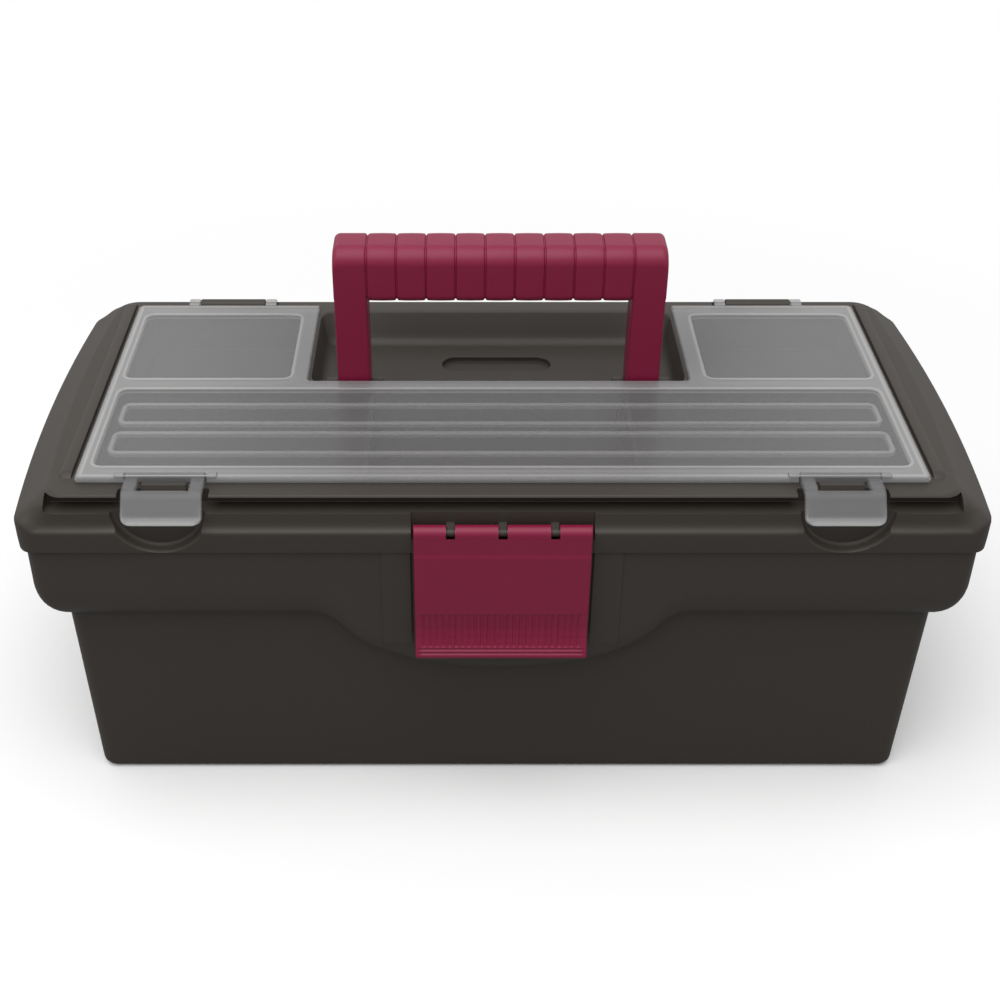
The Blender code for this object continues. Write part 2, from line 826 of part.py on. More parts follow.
def make_lid(frame, material):
    lid = frame.solid("lid", lid_outer, material)
    cavity = frame.tool("lid_cavity", lid_inner)
    cut(
        cavity,
        frame.tool("lid_keep_wells", keep_wells),
        frame.tool("lid_keep_pocket", keep_pocket),
        frame.tool("lid_keep_blocks", keep_blocks),
    )
    cut(lid, cavity, frame.tool("lid_wells", cut_wells), frame.tool("lid_pocket", cut_pocket))
    cut(lid, frame.tool("lid_finger_slot", cut_finger_slot), frame.tool("lid_front", cut_front))
    cut(lid, frame.tool("lid_scoops", cut_scoops), frame.tool("lid_hinge_slots", cut_hinge_slots))
    join(lid, frame.tool("lid_cover_knuckles", cover_hinge_knuckles))
    join(lid, frame.tool("lid_knuckles", lid_knuckles))
    join(lid, frame.tool("lid_ears", handle_ears), frame.tool("lid_latch_lugs", latch_lugs))
    join(lid, frame.tool("lid_nubs", clip_nubs), frame.tool("lid_rails", side_rails))
    join(lid, frame.tool("lid_guides", well_guides))
    cut(lid, frame.tool("lid_hinge_bores", hinge_bores), frame.tool("lid_bores", lid_bores))


# ---- Hinge pins


def make_hinge_pins(frame, material):
    half = hinge_pin_length() / 2
    for name, side in (("left", -1), ("right", 1)):
        middle = side * hinge_spacing / 2

        def pin(bm, middle=middle):
            add_rod(bm, (lid_axis.y, lid_axis.z), hinge_pin_radius, middle - half, middle + half)

        frame.solid(f"lid_hinge_pin_{name}", pin, material)


# ---- Latch


def latch_plate(bm):
    """The latch's side view: a barrel at the top, a flat plate and a lip that turns out at the bottom."""
    barrel = arc((latch_axis.y, latch_axis.z), latch_barrel, 90, 180, 6)
    inside = arc((latch_axis.y, latch_axis.z), latch_barrel, -40, 90, 8)
    lip = -half_depth - latch_lip
    hook_top = latch_bottom + hook_height
    face = latch_face - 0.3 * MM
    outline = [
        *barrel,
        (latch_face, rim_height - 1.5 * MM),
        (face, rim_height - 2.2 * MM),
        (face, latch_bottom + lip_height + 1 * MM),
        (lip, latch_bottom + 1.2 * MM),
        (lip, latch_bottom),
        (lip + 1.6 * MM, latch_bottom),
        (latch_back, hook_top - 3.4 * MM),
        (latch_back + hook_reach, hook_top - 1.4 * MM),
        (latch_back + hook_reach, hook_top),
        (latch_back, hook_top + 0.2 * MM),
        (latch_back, latch_axis.z - latch_barrel),
        *inside[:-1],
    ]
    add_bar(bm, outline, -latch_width / 2, latch_width / 2)


def latch_notches(bm):
    for index in (-1, 0, 1):
        middle = index * notch_pitch
        low = latch_axis.z - latch_barrel - 0.3 * MM
        outline = [
            (latch_face - 2 * MM, low),
            (latch_axis.y + latch_barrel + 1 * MM, low),
            (latch_axis.y + latch_barrel + 1 * MM, latch_top + 2 * MM),
            (latch_face - 2 * MM, latch_top + 2 * MM),
        ]
        add_bar(bm, outline, middle - notch_width / 2, middle + notch_width / 2)


def latch_bore(bm):
    add_rod(bm, (latch_axis.y, latch_axis.z), latch_pin_radius + pin_play, -latch_width, latch_width, 12)


def make_latch(frame, material, metal):
    latch = frame.solid("latch", latch_plate, material)
    cut(latch, frame.tool("latch_notches", latch_notches), frame.tool("latch_bore", latch_bore))

    def pin(bm):
        reach = latch_width / 2 - 0.5 * MM
        add_rod(bm, (latch_axis.y, latch_axis.z), latch_pin_radius, -reach, reach, 12)

    frame.solid("latch_pin", pin, metal)


# ---- Handle


def grip_section(shrink, drop):
    """The grip's outline, shrunk for a groove, and lowered at the top to round off its ends."""
    front = handle_front + shrink
    back = handle_front + grip_depth - shrink
    low = handle_top - grip_height + shrink
    high = handle_top - shrink - drop
    under = grip_under - shrink
    over = grip_radius - shrink
    return (
        arc((back - under, low + under), under, -90, 0, 3)
        + arc((back - over, high - over), over, 0, 90, 4)
        + arc((front + over, high - over), over, 90, 180, 4)
        + arc((front + under, low + under), under, 180, 270, 3)
    )


def handle_grip(bm):
    """The grip along X, with rings of V grooves between the legs."""
    end = handle_half_width
    rounding = [(0, grip_end), (0.3 * grip_end, 0.3 * grip_end), (grip_end, 0)]
    stations = [(-end + inward, 0, drop) for inward, drop in rounding]
    for index in range(grip_grooves):
        middle = (index - (grip_grooves - 1) / 2) * groove_pitch
        stations.append((middle - groove_half_width, 0, 0))
        stations.append((middle, groove_bite, 0))
        stations.append((middle + groove_half_width, 0, 0))
    stations += [(end - inward, 0, drop) for inward, drop in reversed(rounding)]
    add_loft(bm, [upright(grip_section(shrink, drop), x) for x, shrink, drop in stations])


def handle_legs(bm):
    """Legs that narrow to a round end about the pivot."""
    back = handle_front + handle_leg_depth
    round_end = handle_pivot_height - seat_gap
    shoulder = handle_axis.z + 8 * MM
    top = handle_top - grip_height / 2
    outline = arc((handle_axis.y, handle_axis.z), round_end, 180, 360, 8)
    front = handle_front + 0.02 * MM
    outline += [(back, shoulder), (back, top), (front, top), (front, shoulder)]
    for side in (-1, 1):
        near, far = sorted((side * (handle_half_width - handle_leg), side * (handle_half_width - 0.02 * MM)))
        add_bar(bm, outline, near, far)


def handle_bores(bm):
    for side in (-1, 1):
        near, far = sorted((side * handle_pin_start(), side * handle_pin_end()))
        add_rod(bm, (handle_axis.y, handle_axis.z), handle_pin_radius + pin_play, near, far, 12)


def make_handle(frame, material):
    handle = frame.solid("handle", handle_grip, material)
    join(handle, frame.tool("handle_legs", handle_legs))
    cut(handle, frame.tool("handle_bores", handle_bores))


def make_handle_pins(frame, material):
    for name, side in (("left", -1), ("right", 1)):
        near, far = sorted((side * handle_pin_start(), side * handle_pin_end()))

        def pin(bm, near=near, far=far):
            add_rod(bm, (handle_axis.y, handle_axis.z), handle_pin_radius, near, far, 12)

        frame.solid(f"handle_pin_{name}", pin, material)


# ---- Organiser cover


def cover_plate(bm):
    """The clear cover's outline: a strip across the front and a wing on each side of the pocket."""
    side = cover_width / 2
    notch = pocket_half_width + 0.8 * MM
    radius = cover_corner
    outline = (
        arc((side - radius, cover_front + radius), radius, -90, 0, corner_steps)
        + arc((side - radius, cover_back - radius), radius, 0, 90, corner_steps)
        + [(notch, cover_back), (notch, strip_back + 2 * MM), (notch - 2 * MM, strip_back)]
        + [(-notch + 2 * MM, strip_back), (-notch, strip_back + 2 * MM), (-notch, cover_back)]
        + arc((-side + radius, cover_back - radius), radius, 90, 180, corner_steps)
        + arc((-side + radius, cover_front + radius), radius, 180, 270, corner_steps)
    )
    add_loft(bm, [lift(outline, cover_bottom), lift(outline, cover_top)])


def clip_notches(bm):
    reach = clip_width / 2 + clip_side_gap
    back = clip_axis.y + clip_barrel + 0.5 * MM
    for side in (-1, 1):
        middle = side * clip_spacing / 2
        low = (middle - reach, cover_front - 1 * MM, cover_bottom - 1 * MM)
        high = (middle + reach, back, cover_top + 1 * MM)
        add_box(bm, low, high)


def cover_ears(bm):
    """Ears for the clips' pins at the front and for the hinge pins at the back."""
    seat = cover_bottom + 0.3 * MM
    feet = [(clip_axis.y - clip_barrel, seat), (clip_axis.y + clip_barrel, seat)]
    front = lug((clip_axis.y, clip_axis.z), clip_barrel, feet, 0, 180, 6)
    back = lug(
        (cover_axis.y, cover_axis.z),
        cover_hinge_radius,
        [
            (cover_back - 2 * MM, cover_top - 0.2 * MM),
            (cover_back - 2 * MM, cover_bottom + 0.2 * MM),
            (cover_back - 0.1 * MM, cover_bottom + 0.1 * MM),
        ],
        -150,
        110,
        10,
    )
    for side in (-1, 1):
        middle = side * clip_spacing / 2
        inner = clip_width / 2 + clip_side_gap
        for start in (middle + inner, middle - inner - clip_ear):
            add_bar(bm, front, start, start + clip_ear)
        middle = side * cover_hinge_spacing / 2
        inner = cover_knuckle / 2 + cover_ear_gap
        for start in (middle + inner, middle - inner - cover_ear):
            add_bar(bm, back, start, start + cover_ear)


def cover_panels(bm):
    """Shallow recesses in the strip and in each wing."""
    floor = cover_top - panel_recess
    reach = cover_width / 2 - border_side
    wing_front = strip_back + rib_into_wing
    areas = [((-reach, cover_front + border_front), (reach, wing_front - rib_behind_strip))]
    for side in (-1, 1):
        near, far = sorted((side * (pocket_half_width + border_pocket), side * reach))
        areas.append(((near, wing_front), (far, cover_back - border_front)))
    for low, high in areas:
        outline = rounded_rectangle(low, high, panel_corner)
        add_loft(bm, [lift(outline, floor), lift(outline, cover_top + 1 * MM)])


def cover_outlines(bm):
    """Two long rounded outlines that stand in the strip's recess."""
    low = cover_top - panel_recess - 0.4 * MM
    reach = cover_width / 2 - outline_side
    for index in range(2):
        front = cover_front + outline_start + index * outline_pitch
        back = front + outline_depth
        outer = rounded_rectangle((-reach, front), (reach, back), panel_corner)
        inner = rounded_rectangle(
            (-reach + line_width, front + line_width),
            (reach - line_width, back - line_width),
            panel_corner - line_width,
        )
        add_ring(bm, outer, inner, low, cover_top)


def cover_bores(bm):
    clip_reach = clip_width / 2 + clip_side_gap + clip_ear + 1 * MM
    hinge_reach = hinge_slot_reach() + 1 * MM
    clip_hole = clip_pin_radius + pin_play
    hinge_hole = cover_pin_radius + pin_play
    for side in (-1, 1):
        middle = side * clip_spacing / 2
        add_rod(bm, (clip_axis.y, clip_axis.z), clip_hole, middle - clip_reach, middle + clip_reach, 10)
        middle = side * cover_hinge_spacing / 2
        add_rod(bm, (cover_axis.y, cover_axis.z), hinge_hole, middle - hinge_reach, middle + hinge_reach, 12)


def make_cover(frame, material):
    cover = frame.solid("organiser_cover", cover_plate, material)
    cut(cover, frame.tool("cover_clip_notches", clip_notches), frame.tool("cover_panels", cover_panels))
    join(cover, frame.tool("cover_ears", cover_ears), frame.tool("cover_outlines", cover_outlines))
    cut(cover, frame.tool("cover_bores", cover_bores))


def make_cover_pins(frame, material):
    half = cover_knuckle / 2 + cover_ear_gap + cover_ear
    for name, side in (("left", -1), ("right", 1)):
        middle = side * cover_hinge_spacing / 2

        def pin(bm, middle=middle):
            add_rod(bm, (cover_axis.y, cover_axis.z), cover_pin_radius, middle - half, middle + half, 12)

        frame.solid(f"cover_hinge_pin_{name}", pin, material)


# ---- Clips


def clip_profile():
    """A flat arm from the barrel to the bend, then a tip that slopes forwards and down."""
    bend = Vector((clip_axis.y - clip_flat, clip_axis.z - clip_sink))
    tip = bend + Vector((-clip_run, -clip_drop))
    along = (tip - bend).normalized()
    across = Vector((along.y, -along.x)) * (clip_thickness / 2)
    half = clip_thickness / 2
    top = bend.y + half
    return [
        (clip_axis.y - clip_barrel, top),
        (bend.x - 0.3 * MM, top),
        (bend.x + across.x, bend.y + across.y + 0.2 * MM),
        (tip.x + across.x, tip.y + across.y),
        (tip.x - across.x, tip.y - across.y),
        (bend.x - across.x + 0.4 * MM, bend.y - half),
        (clip_axis.y - clip_barrel, bend.y - half),
    ] + arc((clip_axis.y, clip_axis.z), clip_barrel, -130, 130, 10)


def make_clips(cover_frame, material, metal):
    for name, side in (("left", -1), ("right", 1)):
        middle = side * clip_spacing / 2
        frame = Frame(f"clip_axis_{name}", clip_axis + Vector((middle, 0, 0)), cover_frame)

        def body(bm, middle=middle):
            add_bar(bm, clip_profile(), middle - clip_width / 2, middle + clip_width / 2)

        def window(bm, middle=middle):
            back = clip_axis.y - window_start
            add_box(
                bm,
                (middle - window_width / 2, back - window_length, cover_bottom - 1 * MM),
                (middle + window_width / 2, back, cover_top + 3 * MM),
            )

        def bore(bm, middle=middle):
            reach = clip_width / 2 + 1 * MM
            hole = clip_pin_radius + pin_play
            add_rod(bm, (clip_axis.y, clip_axis.z), hole, middle - reach, middle + reach, 10)

        def pin(bm, middle=middle):
            reach = clip_width / 2 + clip_side_gap + clip_ear
            add_rod(bm, (clip_axis.y, clip_axis.z), clip_pin_radius, middle - reach, middle + reach, 10)

        clip = frame.solid(f"clip_{name}", body, material)
        cut(clip, frame.tool(f"clip_window_{name}", window), frame.tool(f"clip_bore_{name}", bore))
        cover_frame.solid(f"clip_pin_{name}", pin, metal)


# ---- Tray and dividers


def tray_shell(bm):
    """Outside of the tray: a lower part that hangs inside the ledge and a wider part that rests on it."""
    outside = tray_profile()
    inside = [(inset + tray_wall, z + tray_wall) for inset, z in reversed(outside[:-1])]
    inside.insert(0, (tray_rim_inset + tray_wall, tray_top))
    radius = corner_radius / 2
    rings = [(inset, z, radius) for inset, z in outside]
    rings += [(inset, z, radius / 2) for inset, z in inside]
    add_loft(bm, [lift(bowed_outline(inset, inset, r), z) for inset, z, r in rings])


def tray_profile():
    """(inset, z) up the outside of the tray."""
    seat = ledge_height + seat_gap
    return [
        (tray_low_inset + tray_draft, tray_floor),
        (tray_low_inset, seat - 0.01 * MM),
        (tray_seat_inset, seat),
        (tray_seat_inset - 1.3 * MM, seat + 4.5 * MM),
        (tray_rim_inset, tray_top),
    ]


def tray_middle(bm):
    """The wall down the middle of the tray, with a notch for fingers. Its ends lie half way through
    the tray's own wall."""
    half = tray_wall / 2
    top = tray_top - 1 * MM
    right = [(box_width / 2 - inset - half, min(z + half, top)) for inset, z in tray_profile()]
    reach = tray_grip_width / 2 - tray_grip_seat
    centre = (reach - tray_notch_rounding, tray_top - tray_notch_depth + tray_notch_rounding)
    right += [(reach, top), *arc(centre, tray_notch_rounding, 0, -90, 4)]
    outline = right + [(-x, z) for x, z in reversed(right)]
    add_loft(bm, [facing(outline, -half), facing(outline, half)])


def tray_grip(bm):
    """The bar over the notch, which snaps down over the wall's two top corners."""
    half = tray_grip_thickness / 2
    top = tray_top + tray_grip_rise
    low = tray_top - tray_hole_top
    profile = rounded_rectangle((-half, low), (half, top), 2.4 * MM, 3)
    add_bar(bm, profile, -tray_grip_width / 2, tray_grip_width / 2)


def tray_grip_slots(bm):
    half = tray_wall / 2 + seat_gap
    outer = tray_grip_width / 2 + 1 * MM
    inner = tray_grip_width / 2 - tray_grip_seat - seat_gap
    top = tray_top - 1 * MM + seat_gap
    outline = [(-half, tray_top - 8 * MM), (half, tray_top - 8 * MM), (half, top), (-half, top)]
    for ends in ((-outer, -inner), (inner, outer)):
        add_bar(bm, outline, *ends)


def tray_inner_front():
    """Where the front wall's inside meets the tray's floor, as y."""
    return -half_depth + tray_low_inset + tray_wall + tray_draft


def tray_guides(bm):
    for side in (-1, 1):
        add_guides(
            bm,
            side * tray_divider_x,
            (tray_inner_front(), -tray_wall / 2),
            tray_floor + tray_wall / 2,
            ledge_height - 1 * MM,
            tray_wall * 0.75,
        )


def make_tray(frame, material):
    tray = frame.solid("tray", tray_shell, material)
    join(tray, frame.tool("tray_middle", tray_middle), frame.tool("tray_guides", tray_guides))
    grip = frame.solid("tray_grip", tray_grip, material)
    cut(grip, frame.tool("tray_grip_slots", tray_grip_slots))


def make_dividers(name, frame, middle, walls, low, high, material):
    """A pair of loose plates that slide down between the guide ribs."""
    for hand, side in (("left", -1), ("right", 1)):
        x = side * middle

        def plate(bm, x=x):
            half = divider_thickness / 2
            front = walls[0] + divider_play
            back = walls[1] - divider_play
            outline = rounded_rectangle((front, low), (back, high), 2 * MM, 3)
            add_bar(bm, outline, x - half, x + half)

        frame.solid(f"{name}_{hand}", plate, material)


# ---- The whole box


def clear_scene():
    for existing in list(bpy.data.objects):
        bpy.data.objects.remove(existing, do_unlink=True)


def main():
    clear_scene()
    charcoal = plastic("charcoal_plastic", "3C3733", 0.5)
    raspberry = plastic("raspberry_plastic", "8A1F42", 0.42)
    frosted = plastic("frosted_clear_plastic", "C9C9C6", 0.35, transmission=0.6)
    tray_plastic = plastic("tray_plastic", "45403C", 0.5)
    steel = plastic("pin_steel", "9A9A98", 0.35, metallic=1.0)

    ground = Frame("box", (0, 0, 0))
    ground.empty.location.y = (half_depth + latch_lip - lid_axis.y - knuckle_radius) / 2
    lid_frame = Frame("lid_axis", lid_axis, ground)
    latch_frame = Frame("latch_axis", latch_axis, lid_frame)
    handle_frame = Frame("handle_axis", handle_axis, lid_frame)
    cover_frame = Frame("cover_axis", cover_axis, lid_frame)
    tray_frame = Frame("tray_seat", (0, 0, ledge_height), ground)

    make_tub(ground, charcoal)
    make_hinge_pins(ground, steel)
    make_lid(lid_frame, charcoal)
    make_latch(latch_frame, raspberry, steel)
    make_handle(handle_frame, raspberry)
    make_handle_pins(lid_frame, steel)
    make_cover(cover_frame, frosted)
    make_cover_pins(lid_frame, steel)
    make_clips(cover_frame, frosted, steel)
    make_tray(tray_frame, tray_plastic)
    make_dividers(
        "tray_divider",
        tray_frame,
        tray_divider_x,
        (tray_inner_front(), -tray_wall / 2),
        tray_floor + tray_wall + seat_gap,
        tray_top - 6 * MM,
        tray_plastic,
    )
    make_dividers(
        "organiser_divider",
        lid_frame,
        organiser_divider_x,
        (front_well_front, front_well_back),
        well_floor + seat_gap,
        deck_height - 0.6 * MM,
        charcoal,
    )


main()
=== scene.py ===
"""Plastic toolbox with a lift-out tray, a folding handle and an organiser under a clear cover in its lid.

Run as a script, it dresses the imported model: every moulding is worked out with numpy in millimetres and joined
to the body that it moves with. X runs along the box, -Y is the front and Z is up.
"""

import json
import math

import bmesh
import bpy
import numpy as np
from bpy.props import FloatProperty, FloatVectorProperty, PointerProperty
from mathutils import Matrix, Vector


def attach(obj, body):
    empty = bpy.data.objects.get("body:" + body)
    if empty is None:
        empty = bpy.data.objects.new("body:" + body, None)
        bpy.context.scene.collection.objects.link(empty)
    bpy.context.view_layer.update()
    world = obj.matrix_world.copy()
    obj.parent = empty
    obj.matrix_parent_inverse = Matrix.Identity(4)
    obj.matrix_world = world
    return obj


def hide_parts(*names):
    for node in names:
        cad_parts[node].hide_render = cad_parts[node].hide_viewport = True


bl_info = {
    "name": "Toolbox with tray",
    "version": (1, 0, 0),
    "blender": (4, 5, 0),
    "location": "3D View > Sidebar > Toolbox",
    "description": "Builds the mouldings, materials and studio of a plastic toolbox around its packed model",
    "category": "Object",
}

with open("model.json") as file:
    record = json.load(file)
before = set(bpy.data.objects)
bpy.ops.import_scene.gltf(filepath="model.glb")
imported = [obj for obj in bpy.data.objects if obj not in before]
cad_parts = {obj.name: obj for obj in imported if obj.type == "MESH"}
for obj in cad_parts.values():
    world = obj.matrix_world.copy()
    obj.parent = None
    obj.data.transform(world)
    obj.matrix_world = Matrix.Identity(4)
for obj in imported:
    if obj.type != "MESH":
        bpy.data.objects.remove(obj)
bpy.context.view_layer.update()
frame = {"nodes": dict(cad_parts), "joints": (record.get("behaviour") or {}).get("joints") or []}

# ---- Sizes in millimetres, measured from the middle of the rim ----

MM = 0.001
HINGE_PLACE = {joint["name"]: joint.get("pos_m") for joint in frame["joints"]}
WIDTH = 330.0
DEPTH = 148.0
HALF_DEPTH = DEPTH / 2
BOW = 3.75  # how far each short side bows out at its middle
CORNER = 5.0
FRONT_REACH = 155.0  # half the straight part of the front, which the rings' stations are shares of
RIM = 109.6
LID_HEIGHT = 20.8
DECK = RIM + LID_HEIGHT
BAND_TOP = RIM + 10.3
WALL = 2.4
LEDGE = 84.0
SETBACK = 2.0  # how far the tub's collar stands behind the lid's band
APRON = 57.0  # half the width of the apron behind the latch
APRON_DROP = 24.3
LID_AXIS = (HALF_DEPTH + 3.5, RIM + 0.15)
LID_BARREL = 3.2
LID_HINGE_X = 100.0
SHIFT = HINGE_PLACE["lid_hinge"][1] / MM - LID_AXIS[0]  # the box stands centred on the origin

POCKET_X = 69.0
COVER_WIDTH = 284.0
COVER_DEPTH = 125.2
COVER_FRONT = -COVER_DEPTH / 2
COVER_BACK = COVER_DEPTH / 2
COVER_LOW = DECK + 0.3
COVER_HIGH = COVER_LOW + 1.7
STRIP_BACK = COVER_FRONT + 65.2
COVER_AXIS = (COVER_BACK + 2.7, COVER_LOW + 0.2)
COVER_BARREL = 2.3
COVER_KNUCKLE = 25.5
COVER_EAR = 4.2
COVER_HINGE_X = 209.5 / 2
HINGE_SLOT = COVER_KNUCKLE / 2 + COVER_EAR + 0.7
COVER_NOTCH = POCKET_X + 0.8  # half the width of the gap round the handle
COVER_REACH = COVER_WIDTH / 2 - 5  # the recesses' outer ends
WING_RECESS = POCKET_X + 7.5
RECESS = 0.6
OUTLINE_X = 133.2
OUTLINE_FRONTS = (COVER_FRONT + 16.6, COVER_FRONT + 35.75)
OUTLINE_DEPTH = 12.6

POCKET_FRONT = STRIP_BACK + 0.8
POCKET_BACK = POCKET_FRONT + 57.5
POCKET_FLOOR = DECK - 11.0
WELL_FLOOR = DECK - 16.5
WELL_X = COVER_WIDTH / 2 - 5.5
WELL_FRONT = COVER_FRONT + 3.0
WELL_MIDDLE = STRIP_BACK - 5.2
WING_FRONT = WELL_MIDDLE + 2.3
WING_BACK = COVER_BACK - 4.0
WING_X = POCKET_X + 3.5

CLIP_X = 223.0 / 2
CLIP_WIDTH = 26.4
CLIP_WINDOW = 8.7
CLIP_DROP = (-6.5, -8.6)
CLIP_AXIS = (COVER_FRONT + 1.8, COVER_LOW + 1.5)
CLIP_BARREL = 1.5
CLIP_TOP = CLIP_AXIS[1] - 0.3  # the height of its level part
CLIP_EAR = 3.4
CLIP_SKIN = 0.9  # half a clip's thickness
CLIP_GAP = (CLIP_X - CLIP_WIDTH / 2 - 0.4, CLIP_X + CLIP_WIDTH / 2 + 0.4)
CLIP_GAP_BACK = CLIP_AXIS[0] + 2.0
SCOOP = 16.0
SCOOP_DEPTH = 4.2

LATCH_WIDTH = 59.0
LATCH_FACE = -HALF_DEPTH - 2.4
LATCH_TOP = BAND_TOP + 1.3
LATCH_BARREL = 2.6
LATCH_AXIS = (LATCH_FACE + LATCH_BARREL, LATCH_TOP - LATCH_BARREL)
LATCH_BOTTOM = LATCH_TOP - 52.8
LATCH_BACK = LATCH_FACE + 2.6
NOTCH_PITCH = 17.25
NOTCH = 1.5  # half a notch's width
LATCH_SIDE = LATCH_WIDTH / 2 + 0.8
LATCH_ROOM = LATCH_BARREL + 0.6  # the recess round the latch's barrel
GROOVE_ROOF = DECK - 0.9

GRIP_X = 58.9
LEG = 11.8
HANDLE_FRONT = STRIP_BACK + 1.4
HANDLE_AXIS = (HANDLE_FRONT + 7.0, POCKET_FLOOR + 5.1)
HANDLE_EAR = 3.7
GRIP_TOP = COVER_HIGH + 50.5
GRIP_DEPTH = 20.0
GRIP_HEIGHT = 20.2


# ---- Surfaces as arrays ----


def arc(centre, radius, start, end, count):
    """Points at even angles on a circle in a plane, from start to end in degrees."""
    turn = np.radians(np.linspace(start, end, count))
    return np.stack([centre[0] + radius * np.cos(turn), centre[1] + radius * np.sin(turn)], -1)


def outline(*parts):
    """One list of points from arcs, point lists and single points."""
    return np.concatenate([np.atleast_2d(np.asarray(part, float)) for part in parts])


def rounded(low, high, radius, count=7):
    """A rectangle with quarter circles for corners, anticlockwise."""
    (x0, y0), (x1, y1) = low, high
    return outline(
        arc((x1 - radius, y0 + radius), radius, -90, 0, count),
        arc((x1 - radius, y1 - radius), radius, 0, 90, count),
        arc((x0 + radius, y1 - radius), radius, 90, 180, count),
        arc((x0 + radius, y0 + radius), radius, 180, 270, count),
    )


def in_plane(points, place, across):
    """Puts a flat outline into space: across is the axis that the outline's plane crosses at place."""
    points = np.asarray(points, float)
    level = np.full(len(points), float(place))
    columns = {
        "x": (level, points[:, 0], points[:, 1]),
        "y": (points[:, 0], level, points[:, 1]),
        "z": (points[:, 0], points[:, 1], level),
    }
    return np.stack(columns[across], -1)


def grid_faces(rows, columns, closed):
    """Quads between the rows of a grid of points. A closed grid joins its last column to its first."""
    index = np.arange(rows * columns).reshape(rows, columns)
    if closed:
        index = np.concatenate([index, index[:, :1]], 1)
    return np.stack([index[:-1, :-1], index[:-1, 1:], index[1:, 1:], index[1:, :-1]], -1).reshape(-1, 4)


def loft(rings):
    """A closed shell through rings that have the same number of points, with a flat face over each end."""
    rings = np.asarray(rings, float)
    rows, columns = rings.shape[:2]
    faces = grid_faces(rows, columns, True).tolist()
    faces.append(list(range(columns)))
    faces.append(list(range((rows - 1) * columns, rows * columns)))
    return rings.reshape(-1, 3), faces


def plate(keep, upper, lower):
    """A wall with two faces over a grid: keep marks its solid cells, and side faces close it where one ends."""
    rows, columns = upper.shape[:2]
    index = np.arange(rows * columns).reshape(rows, columns)
    under = rows * columns
    cells = np.stack([index[:-1, :-1], index[1:, :-1], index[1:, 1:], index[:-1, 1:]], -1)[keep]
    ringed = np.pad(keep, 1)
    across = ringed[:-1, 1:-1] != ringed[1:, 1:-1]
    along = ringed[1:-1, :-1] != ringed[1:-1, 1:]
    near = np.concatenate([index[:, :-1][across], index[:-1, :][along]])
    far = np.concatenate([index[:, 1:][across], index[1:, :][along]])
    sides = np.stack([near, far, far + under, near + under], -1)
    points = np.concatenate([upper.reshape(-1, 3), lower.reshape(-1, 3)])
    return points, np.concatenate([cells, cells[:, ::-1] + under, sides]).tolist()


def bar(profile, start, end, edge=0.3):
    """A (y, z) outline carried along X, drawn in towards its middle over the last bit of each end."""
    profile = np.asarray(profile, float)
    middle = profile.mean(0)
    reach = np.abs(profile - middle).max(0)
    small = middle + (profile - middle) * (1 - edge / reach)
    stations = ((start, small), (start + edge, profile), (end - edge, profile), (end, small))
    return loft([in_plane(shape, x, "x") for x, shape in stations])


def block(low, high):
    """A plain box between two opposite corners."""
    corners = [(low[0], low[1]), (high[0], low[1]), (high[0], high[1]), (low[0], high[1])]
    return loft([in_plane(corners, low[2], "z"), in_plane(corners, high[2], "z")])


def smooth_step(low, high, value):
    """0 below low and 1 above high, with a cubic ease between."""
    share = np.clip((value - low) / (high - low), 0, 1)
    return share * share * (3 - 2 * share)


def lines(low, high, spacing, places=(), offsets=(0,)):
    """Grid lines from low to high, about spacing apart, with closer ones at each place plus each offset."""
    closest = 0.048
    even = np.linspace(low, high, max(2, int(round((high - low) / spacing)) + 1))
    close = np.add.outer(np.asarray(places, float), np.asarray(offsets, float)).ravel()
    close = np.unique(np.round(np.append(close, (low, high)), 4))
    close = close[(close >= low) & (close <= high)]
    kept = close[np.append(True, np.diff(close) > closest)]
    far = np.abs(np.subtract.outer(even, kept)).min(1) > spacing * 0.45
    return np.sort(np.concatenate([kept, even[far]]))


def box_distance(x, y, low, high, radius):
    """Distance from a rounded rectangle, negative inside it."""
    middle_x, middle_y = (low[0] + high[0]) / 2, (low[1] + high[1]) / 2
    dx = np.abs(x - middle_x) - (high[0] - low[0]) / 2 + radius
    dy = np.abs(y - middle_y) - (high[1] - low[1]) / 2 + radius
    outside = np.hypot(np.maximum(dx, 0), np.maximum(dy, 0))
    return outside + np.minimum(np.maximum(dx, dy), 0) - radius


def edge_drop(inward, radius):
    """How far a quarter-round edge lies under its face, at each distance inward from the edge."""
    lip = np.clip(radius - inward, 0, radius)
    return radius - np.sqrt(np.maximum(radius**2 - lip**2, 0))


def quarter_discs(u, v, half_u, half_v, radius):
    """Maps each corner square of a grid to a quarter disc: the larger of a point's two offsets into the square
    becomes its distance from the square's inner corner."""
    a = np.clip((np.abs(u) - half_u + radius) / radius, 0, 1)
    b = np.clip((np.abs(v) - half_v + radius) / radius, 0, 1)
    corner = (a > 0) & (b > 0)
    scale = np.maximum(a, b) / np.maximum(np.hypot(a, b), 1e-9)
    round_u = np.sign(u) * (half_u - radius + radius * a * scale)
    round_v = np.sign(v) * (half_v - radius + radius * b * scale)
    return np.where(corner, round_u, u), np.where(corner, round_v, v)


